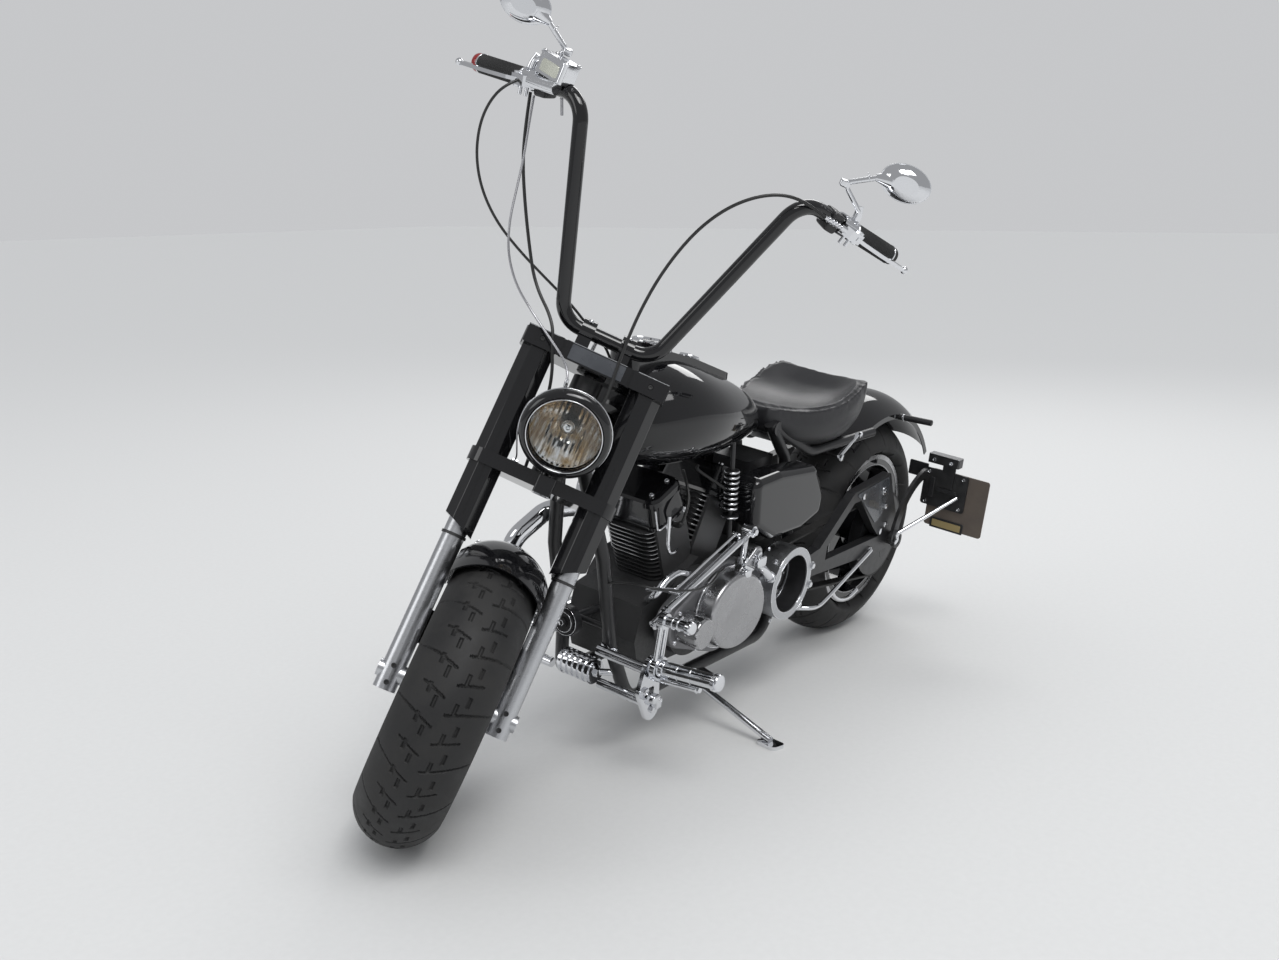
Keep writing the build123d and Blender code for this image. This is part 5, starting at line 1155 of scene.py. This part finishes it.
# Linkage on the left: oil pipe over the case's front shoulder, shift rods, lead, breather, strut
linkage = {
    "oilPipe": ((1.112, 0.098, 0.4), (1.128, 0.132, 0.43), (1.103, 0.137, 0.456), (1.066, 0.139, 0.466),
                (1.034, 0.138, 0.46), (1.004, 0.134, 0.448), (0.984, 0.12, 0.436)),
    "lead": ((1.252, 0.08, 0.47), (1.262, 0.15, 0.494), (1.238, 0.206, 0.492), (1.16, 0.222, 0.474),
             (1.1, 0.222, 0.462), (1.04, 0.218, 0.46), (0.99, 0.205, 0.468), (0.94, 0.19, 0.462)),
    "breather": ((1.082, 0.112, 0.6), (1.084, 0.116, 0.56), (1.083, 0.118, 0.532), (1.072, 0.118, 0.512),
                 (1.05, 0.116, 0.508), (1.03, 0.108, 0.508)),
    "rods": (  # start, end, radius: two upper rods, their joint, then three posts
        ((1.15, 0.196, 0.466), (0.918, 0.196, 0.548), 0.0036),
        ((1.12, 0.188, 0.444), (0.905, 0.188, 0.52), 0.003),
        ((0.918, 0.188, 0.546), (0.918, 0.204, 0.546), 0.005),
        ((1.15, 0.1965, 0.466), (1.15, 0.118, 0.44), 0.0042),
        ((1.12, 0.1885, 0.444), (1.12, 0.118, 0.436), 0.004),
        ((0.905, 0.1885, 0.52), (0.905, 0.15, 0.47), 0.004),
    ),
    "heads": (  # place, radius, height
        ((1.25, 0.2175, 0.414), 0.009, 0.007),
        ((0.872, 0.2172, 0.548), 0.0095, 0.007),
        ((0.846, 0.189, 0.462), 0.009, 0.006),
    ),
    "mainRod": ((1.25, 0.21, 0.414), (-0.378, 0, 0.134)),
    "lockNuts": (0.1, 0.13, 0.88, 0.91),
    "strutTop": (0.85, 0.112, 0.768),
    "strutLow": (0.828, 0.13, 0.44),
    "coils": 8,
    "coilPitch": 0.013,
    "coilStart": 0.1015,
}


def makeLinkage():
    addPiece("oil_pipe", [bentRod(linkage["oilPipe"], 0.0085, 60, 20)], "chrome")
    rods = [straightRod(start, end, radius, sides=14) for start, end, radius in linkage["rods"]]
    rods += [hexHead(spot, left, radius, high) for spot, radius, high in linkage["heads"]]
    start, run = np.array(linkage["mainRod"])
    nut = [(0.0102, 0), (0.0108, 0.001), (0.0108, 0.007), (0.0102, 0.008)]
    rods += [lathe(nut, start + share * run, run, 6) for share in linkage["lockNuts"]]
    addPiece("link_rods", rods, "chrome")
    addPiece("crossing_lead", [bentRod(linkage["lead"], 0.0026, 70, 10)], "cableBlack")
    addPiece("breather_pipe", [bentRod(linkage["breather"], 0.0042)], "chrome")
    # strut eye and bolts, then bright coils over the dark strut and a ring under them
    top = np.array(linkage["strutTop"])
    way = unit(linkage["strutLow"] - top)
    strut = [hoop(0.0105, 0.0035, (0.85, 0.112, 0.764), left, 28),
             hexHead((0.85, 0.1165, 0.764), left, 0.008, 0.006),
             hexHead((0.828, 0.1365, 0.444), left, 0.009, 0.006)]
    strut += [hoop(0.0166, 0.003, top + (linkage["coilStart"] + linkage["coilPitch"] * n) * way, way, 40)
              for n in range(linkage["coils"])]
    strut += [hoop(0.0205, 0.002, top + 0.2145 * way, way, 40)]
    addPiece("strut_coils", strut, "chrome")


makeCoverTrim()
makeLinkage()
print("left side of the engine dressed")

# Forward controls: rubber strips and end caps on the pegs, bracket bolts, second bar under the peg
controls = {
    "pegInner": (1.24, 0.25, 0.318),
    "pegOuter": (1.24, 0.386, 0.3358),
    "strips": 5,
    "toeInner": (1.2445, 0.248, 0.4308),
    "toeOuter": (1.2478, 0.306, 0.4374),
    "bolts": ((1.244, 0.312), (1.264, 0.262), (1.228, 0.206)),
}


def makeControlTrim(side, label):
    mirror = np.array([1, side, 1])
    rubber, bright = [], []
    for inner, outer, radius, count in (("pegInner", "pegOuter", 0.017, controls["strips"]),
                                        ("toeInner", "toeOuter", 0.012, 0)):
        start, end = np.array(controls[inner]) * mirror, np.array(controls[outer]) * mirror
        first, second, along = axesAbout(end - start)
        for spot in range(count):
            angle = 2 * np.pi * spot / count + 0.5
            out = np.cos(angle) * first + np.sin(angle) * second
            near, far = start + radius * out + 0.016 * along, end + radius * out - 0.01 * along
            rubber.append(alongPath(np.linspace(near, far, 8), 0.003, 10))
        bright.append(lathe([(radius - 0.003, 0.0), (radius + 0.0016, 0.001), (radius + 0.0022, 0.003),
                             (radius + 0.001, 0.0055), (radius * 0.6, 0.0068), (0, 0.007)],
                            end + 0.0032 * along, along, 36))
        bright += [hoop(radius + 0.0006, 0.0013, start + share * (end - start), along, 36) for share in (0.3, 0.55)]
    addPiece("peg_strips_" + label, rubber, "gripRubber")
    bright += [hexHead((x, side * 0.2218, z), (0, side, 0), 0.0088, 0.007) for x, z in controls["bolts"]]
    bright += [hexHead((1.24, side * 0.2398, 0.3375), (0, side, 0), 0.005, 0.004),
               straightRod((1.237, side * 0.224, 0.287), (1.234, side * 0.344, 0.301), 0.0078),
               hoop(0.0082, 0.0016, (1.2342, side * 0.336, 0.3001), (0, side, 0.12), 28),
               roundedBlock((1.247, side * 0.236, 0.244), (0.013, 0.012, 0.01), square=0.5),
               roundedBlock((1.226, side * 0.232, 0.226), (0.01, 0.01, 0.013), square=0.5)]
    addPiece("control_trim_" + label, bright, "chrome")


makeControlTrim(1, "left")
makeControlTrim(-1, "right")
horn = np.array([1.2702, -0.014, 0.35])
hornTrim = [hexHead(horn + [0.0088, 0, 0], fore, 0.0075, 0.005), hoop(0.0325, 0.0012, horn, fore, 64),
            hoop(0.024, 0.001, horn + [0.005, 0, 0], fore, 48)]
hornTrim += [hexHead((1.212, side * 0.049, 0.228), (0, side, 0), 0.011, 0.007) for side in (1, -1)]
addPiece("horn_trim", hornTrim, "chrome")
print("controls dressed")

# Exhaust and air cleaner on the right
exhaust = {
    "low": ((0.61, -0.222, 0.2495), (0.06, -0.232, 0.284)),
    "high": ((0.45, -0.24, 0.372), (-0.06, -0.244, 0.4)),
    "bands": (0.05, 0.11, 0.86),
    "baffle": ((0.0335, 0), (0.0335, 0.001), (0.012, 0.001), (0.01, 0.006), (0, 0.006)),
    "baffleDeep": 0.054,
    "airCleaner": (0.915, 0.545),
}


def makeExhaustTrim():
    trim, inner = [], []
    for muffler in (exhaust["low"], exhaust["high"]):
        start, end = np.array(muffler)
        way = unit(end - start)
        trim += [band(0.0415, 0.0442, -0.006, 0.006, start + share * (end - start), way) for share in exhaust["bands"]]
        trim += [hoop(0.038, 0.0042, end, way, 64)]
        trim += [hexHead(start + 0.05 * (end - start) + [0, -0.044, 0], -left, 0.006, 0.005)]
        inner.append(lathe(exhaust["baffle"], end - exhaust["baffleDeep"] * way, way, 40))
    # clips round both front pipes
    trim += [band(0.0218, 0.0246, -0.007, 0.007, spot, way, 48)
             for spot, way in (((1.19, -0.1855, 0.333), (-0.16, -0.024, -0.158)),
                               ((0.99, -0.205, 0.249), (-0.26, -0.018, -0.026)))]
    addPiece("exhaust_bands", trim, "satinChrome")
    addPiece("exhaust_baffles", inner, "darkMetal")
    cleaner = exhaust["airCleaner"]
    dome = [(0.06, 0), (0.06, 0.0018), (0.056, 0.0034), (0.03, 0.005), (0, 0.0056)]
    cover = [lathe(dome, atSide(cleaner, -0.2318), -left, 72), hoop(0.07, 0.0014, atSide(cleaner, -0.2318), left, 96)]
    cover += [hoop(0.0862, 0.0013, atSide(cleaner, side), left, 96) for side in (-0.186, -0.198, -0.21)]
    cover += [socketHead(spot, -left, 0.005, 0.0045)
              for spot in around(atSide(cleaner, -0.235), fore, above, 0.045, 3, 0.5)]
    addPiece("air_cleaner_trim", cover, "chrome")


makeExhaustTrim()
print("right side dressed")

# Dash: bezel, pale face with ticks and needle, and a filler cap behind it
dash = {
    "centre": np.array([1.07, 0, 0.966]),
    "normal": unit([-0.12, 0, 1.0]),
    "high": 0.014,
    "ticks": 33,
    "needle": 2.2,
    "cap": (0.912, 0.0, 0.9262),
    "capWay": (-0.32, 0, 0.947),
}


def makeDash():
    up = dash["normal"]
    ahead, side = unit(np.cross(left, up)), left
    face = dash["centre"] + dash["high"] * up
    bezel = [(0.0405, 0.0002), (0.047, 0.0002), (0.0476, 0.0022), (0.0466, 0.005), (0.044, 0.0062),
             (0.0412, 0.005)]
    bead = [(0.0466, -0.0135), (0.0476, -0.0125), (0.0476, -0.0105), (0.0466, -0.0095)]
    addPiece("dash_bezel", [ringOf(profile, face, up, 72) for profile in (bezel, bead)], "chrome")
    addPiece("dial_face", [lathe([(0.0408, 0.0001), (0.0408, 0.0006), (0, 0.0007)], face, up, 64)], "dialFace")
    marks = []
    for n in range(dash["ticks"]):
        angle = np.radians(-130 + 260 * n / (dash["ticks"] - 1))
        out = np.cos(angle) * ahead + np.sin(angle) * side
        long, wide = (0.004, 0.0004) if n % 4 else (0.007, 0.0007)
        spot = face + (0.0375 - long / 2) * out + 0.001 * up
        marks.append(roundedBlock(spot, (long / 2, wide, 0.0003), (out, np.cross(up, out), up), 0.2, 6))
    out = np.cos(dash["needle"]) * ahead + np.sin(dash["needle"]) * side
    needle = np.array([face - 0.008 * out, face, face + 0.029 * out]) + 0.0016 * up
    marks.append(alongPath(needle, [0.0011, 0.0013, 0.0004], 8, 0.5, up))
    marks.append(lathe([(0.0048, 0.0008), (0.0048, 0.0026), (0.003, 0.0034), (0, 0.0036)], face, up, 24))
    addPiece("dial_marks", marks, "darkMetal")
    profile = [(0.0235, 0), (0.024, 0.001), (0.024, 0.0065), (0.0225, 0.0085), (0.013, 0.01), (0, 0.0104)]
    seam = np.array(dash["cap"]) + 0.0035 * unit(dash["capWay"])
    cap = [lathe(profile, dash["cap"], dash["capWay"], 40), hoop(0.0242, 0.001, seam, dash["capWay"], 40)]
    addPiece("filler_cap", cap, "chrome")


makeDash()
print("dash dressed")

# Rear end: swingarm plates, fender struts, axle cluster, chrome tube, plate and lamp fittings
rear = {
    "armFace": 0.173,
    "sheet": ((0.262, 0.509), (0.066, 0.529), (0.058, 0.47), (0.084, 0.416), (0.118, 0.398), (0.222, 0.486)),
    "spool": (0.09, 0.49),
    "armBolts": (  # ahead, up, radius, distance out
        (0.225, 0.5, 0.0095, 0.0024), (0.073, 0.442, 0.008, 0.0024), (0.078, 0.366, 0.01, 0),
        (0.052, 0.382, 0.0085, 0), (0.128, 0.322, 0.0085, 0)),
    "tube": ((0.128, 0.181, 0.322), (0.15, 0.181, 0.3125), (0.26, 0.181, 0.271), (0.36, 0.181, 0.2335),
             (0.396, 0.18, 0.2225), (0.43, 0.178, 0.223), (0.452, 0.16, 0.222), (0.47, 0.128, 0.216)),
    "tubeLever": ((0.184, 0.182, 0.216), (0.212, 0.182, 0.206), (0.24, 0.182, 0.203), (0.276, 0.182, 0.208),
                  (0.31, 0.182, 0.224), (0.33, 0.181, 0.244)),
    "plate": (-0.1522, 0.298, 0.44),
    "brackets": (  # width, height and corner, which is the thickness too; place
        ((0.06, 0.044, 0.004), (-0.1455, 0.165, 0.513)),
        ((0.104, 0.032, 0.003), (-0.1466, 0.28, 0.366)),
        ((0.062, 0.012, 0.003), (-0.142, 0.262, 0.468)),
        ((0.014, 0.06, 0.003), (-0.142, 0.216, 0.47)),
    ),
    "lampBox": (-0.171, 0.241, 0.556),
}


def makeArmTrim(side, label):
    face = side * (rear["armFace"] + 0.0012)
    # the sheet's slate colour is a painted sheen on the black arm
    sheet = cutPlate(roundCorners(rear["sheet"], 0.01), 0.0024, (0, face, 0), (fore, above, (0, side, 0)))
    addPiece("arm_sheet_" + label, [sheet], "paintedSheen")
    bright = [ringOf([(0.0058, 0.0), (0.0125, 0.0), (0.0125, 0.0022), (0.0118, 0.003), (0.0058, 0.003)],
                     (rear["spool"][0], side * (rear["armFace"] + 0.0024), rear["spool"][1]), (0, side, 0), 36)]
    bright += [hexHead((x, side * (rear["armFace"] + high), z), (0, side, 0), size, 0.007)
               for x, z, size, high in rear["armBolts"]]
    bright += [hexHead((0, side * 0.1948, 0.329), (0, side, 0), 0.0115, 0.006),
               straightRod((0.206, side * 0.1215, 0.662), (0.3, side * 0.1215, 0.612), 0.0062),
               hexHead((0.3, side * 0.127, 0.612), (0, side, 0), 0.0095, 0.007),
               hexHead((0.206, side * 0.127, 0.662), (0, side, 0), 0.0085, 0.006)]
    addPiece("arm_bolts_" + label, bright, "chrome")


def makeRearTrim():
    tube = [bentRod(rear["tube"], 0.0062, 60, 16), bentRod(rear["tubeLever"], np.linspace(0.0066, 0.0045, 40))]
    addPiece("belt_guard_tube", tube, "chrome")
    straight = [straightRod((0.018, 0.202, 0.352), (-0.144, 0.298, 0.456), 0.006),
                hexHead((0.016, 0.1985, 0.351), left, 0.0115, 0.008),
                hexHead((0.016, 0.1985, 0.327), left, 0.0085, 0.006)]
    addPiece("plate_stay", straight, "chrome")
    x, y, z = rear["plate"]
    face = cutPlate(rectangle(0.176, 0.168, 0.008), 0.0008, (x, y, z), frontWays, 0.0003)
    addPiece("blank_plate_face", [face], "plateFace")
    dome = [(0.0062, 0), (0.0062, 0.0012), (0.004, 0.003), (0, 0.0034)]
    bolts = [lathe(dome, (x - 0.0004, y + dy, z + dz), -fore, 18) for dy in (-0.06, 0.06) for dz in (-0.068, 0.068)]
    bolts += [socketHead((-0.1429, across, up), fore, 0.0055, 0.005)
              for across in (0.202, 0.31) for up in (0.424, 0.515)]
    boxX, boxY, boxZ = rear["lampBox"]
    bolts += [socketHead((-0.1371, boxY + dy, boxZ - 0.001), fore, 0.006, 0.0055) for dy in (-0.028, 0.026)]
    addPiece("plate_bolts", bolts, "chrome")
    rim = rectangle(0.177, 0.169, 0.008)
    path = np.stack([np.full(len(rim), x + 0.0002), y + rim[:, 0], z + rim[:, 1]], 1)
    addPiece("plate_rim", [closedWire(path, 0.0014, fore, 8)], "darkMetal")
    dark = [cutPlate(rectangle(*size), size[2], place, frontWays) for size, place in rear["brackets"]]
    addPiece("plate_brackets", dark, "satinBlack")
    tag = cutPlate(rectangle(0.09, 0.02, 0.002), 0.0012, (-0.1446, 0.28, 0.366), frontWays, 0.0003)
    addPiece("plate_tag", [tag], "tagOchre")
    lens = cutPlate(rectangle(0.088, 0.018, 0.004), 0.0016, (boxX - 0.0004, boxY, boxZ), frontWays, 0.0005)
    addPiece("tail_lens", [lens], "redLens")
    lid = cutPlate(rectangle(0.0335, 0.0965, 0.005), 0.0016, (-0.154, boxY, 0.5697), (fore, left, above), 0.0006)
    addPiece("tail_lamp_lid", [lid], "satinChrome")
    lenses, ends = [], []
    for side in (1, -1):
        tip = np.array([-0.064, side * 0.214, 0.676])
        way = unit([-0.004, side * 0.102, 0.004])
        ends.append(lathe([(0.0086, 0), (0.0086, 0.0012), (0.006, 0.003), (0, 0.0036)], tip - 0.0004 * way, way, 28))
        lenses.append(cutPlate(rectangle(0.052, 0.009, 0.003), 0.0016, tip - 0.038 * way + [-0.0092, 0, 0],
                               (way, above, fore), 0.0004))
    addPiece("indicator_lenses", lenses, "amberLens")
    addPiece("indicator_ends", ends, "satinBlack")
    rings = [band(0.0086, 0.0102, 0, 0.005, (-0.0604, side * 0.126, 0.6724), (-0.004, side * 0.102, 0.004), 28)
             for side in (1, -1)]
    addPiece("indicator_rings", rings, "chrome")


makeArmTrim(1, "left")
makeArmTrim(-1, "right")
makeRearTrim()
print("rear end dressed")

# Floor, light and camera
stage = {
    "floor": (0.6, 0.6, 0.59),
    "size": 80.0,
    "lamps": (  # name, place, target, size, watts
        ("keyLight", (1.0, 3.4, 5.6), (0, 0, 0.6), (3.4, 2.0), 84),
        ("fillLight", (5.2, -2.6, 3.4), (0.4, 0, 0.6), (2.6, 2.6), 36),
        ("rimLight", (-4.8, -1.6, 4.2), (0, 0, 0.6), (3.4, 1.6), 70),
    ),
    "sun": {"energy": 1.1, "angle": np.radians(30), "turn": np.radians([-28, 22, 0])},
    "room": ((0.82, 0.84, 0.88, 1), 0.95),
    "plainRoom": (0.86, 0.87, 0.89, 1),
    "levels": (("Is Glossy Ray", 0.42), ("Is Camera Ray", 0.66)),
}


def makeStage():
    # one wide pale floor with a faint speckle
    bpy.ops.mesh.primitive_plane_add(size=stage["size"], location=(0, 0, 0))
    floor = bpy.context.object
    floor.name = "floor"
    material, tree, shader = newMaterial("floorPale")
    place = objectPlace(tree)
    speckle = noiseOn(tree, place, 60.0, 5.0)
    pale = stage["floor"]
    tree.links.new(mixColours(tree, speckle, pale, tuple(0.93 * c for c in pale)), shader.inputs["Base Color"])
    shader.inputs["Roughness"].default_value = 0.75
    floor.data.materials.append(material)


def addLamp(name, place, target, size, power):
    light = bpy.data.lights.new(name, "AREA")
    light.shape = "RECTANGLE"
    light.size, light.size_y = size
    light.energy = power
    lamp = bpy.data.objects.new(name, light)
    bpy.context.scene.collection.objects.link(lamp)
    way = Vector(target) - Vector(place)
    lamp.matrix_world = Matrix.Translation(place) @ way.to_track_quat("-Z", "Y").to_matrix().to_4x4()


def makeLight():
    for lamp in stage["lamps"]:
        addLamp(*lamp)
    sun = bpy.data.objects.new("softSun", bpy.data.lights.new("softSun", "SUN"))
    sun.data.energy, sun.data.angle = stage["sun"]["energy"], stage["sun"]["angle"]
    sun.rotation_euler = stage["sun"]["turn"]
    bpy.context.scene.collection.objects.link(sun)
    world = bpy.data.worlds.new("softRoom")
    bpy.context.scene.world = world
    world.use_nodes = True
    tree = world.node_tree
    room = tree.nodes["Background"]
    room.inputs["Color"].default_value, room.inputs["Strength"].default_value = stage["room"]
    seen = tree.nodes["World Output"].inputs["Surface"]
    rays = addNode(tree, "ShaderNodeLightPath")
    last = room
    # plain levels for what polished metal mirrors and for what the camera sees behind the floor
    for ray, level in stage["levels"]:
        plain = addNode(tree, "ShaderNodeBackground")
        plain.inputs["Color"].default_value = stage["plainRoom"]
        plain.inputs["Strength"].default_value = level
        mix = addNode(tree, "ShaderNodeMixShader")
        tree.links.new(rays.outputs[ray], mix.inputs["Fac"])
        tree.links.new(last.outputs[0], mix.inputs[1])
        tree.links.new(plain.outputs["Background"], mix.inputs[2])
        last = mix
    tree.links.new(last.outputs[0], seen)


photoCamera = {
    "place": (2.7934, 1.7875, 1.2924),
    "yaw": np.radians(-143.65),
    "pitch": np.radians(-11.66),
    "roll": np.radians(-0.53),
    "focalPixels": 1392.7,
    "frameWide": 1279,
    "sensorWide": 36.0,
}


def makeCamera():
    # yaw and pitch give the way ahead, roll turns the picture about it; lens = focal pixels in sensor millimetres
    yaw, pitch, roll = (photoCamera[key] for key in ("yaw", "pitch", "roll"))
    ahead = np.array([np.cos(yaw) * np.cos(pitch), np.sin(yaw) * np.cos(pitch), np.sin(pitch)])
    right = unit(np.cross(ahead, [0, 0, 1]))
    above = np.cross(right, ahead)
    across = np.cos(roll) * right + np.sin(roll) * above
    above = np.cos(roll) * above - np.sin(roll) * right
    camera = bpy.data.objects.new("photoCamera", bpy.data.cameras.new("photoCamera"))
    bpy.context.scene.collection.objects.link(camera)
    turn = np.eye(4)
    turn[:3, :3] = np.stack([across, above, -ahead], 1)
    turn[:3, 3] = photoCamera["place"]
    camera.matrix_world = Matrix(turn.tolist())
    camera.data.sensor_fit = "HORIZONTAL"
    camera.data.sensor_width = photoCamera["sensorWide"]
    camera.data.lens = photoCamera["focalPixels"] * photoCamera["sensorWide"] / photoCamera["frameWide"]
    camera.data.clip_end = 200
    bpy.context.scene.camera = camera


makeStage()
makeLight()
makeCamera()
bpy.context.scene.view_settings.view_transform = "Standard"
print("stage, light and camera set")
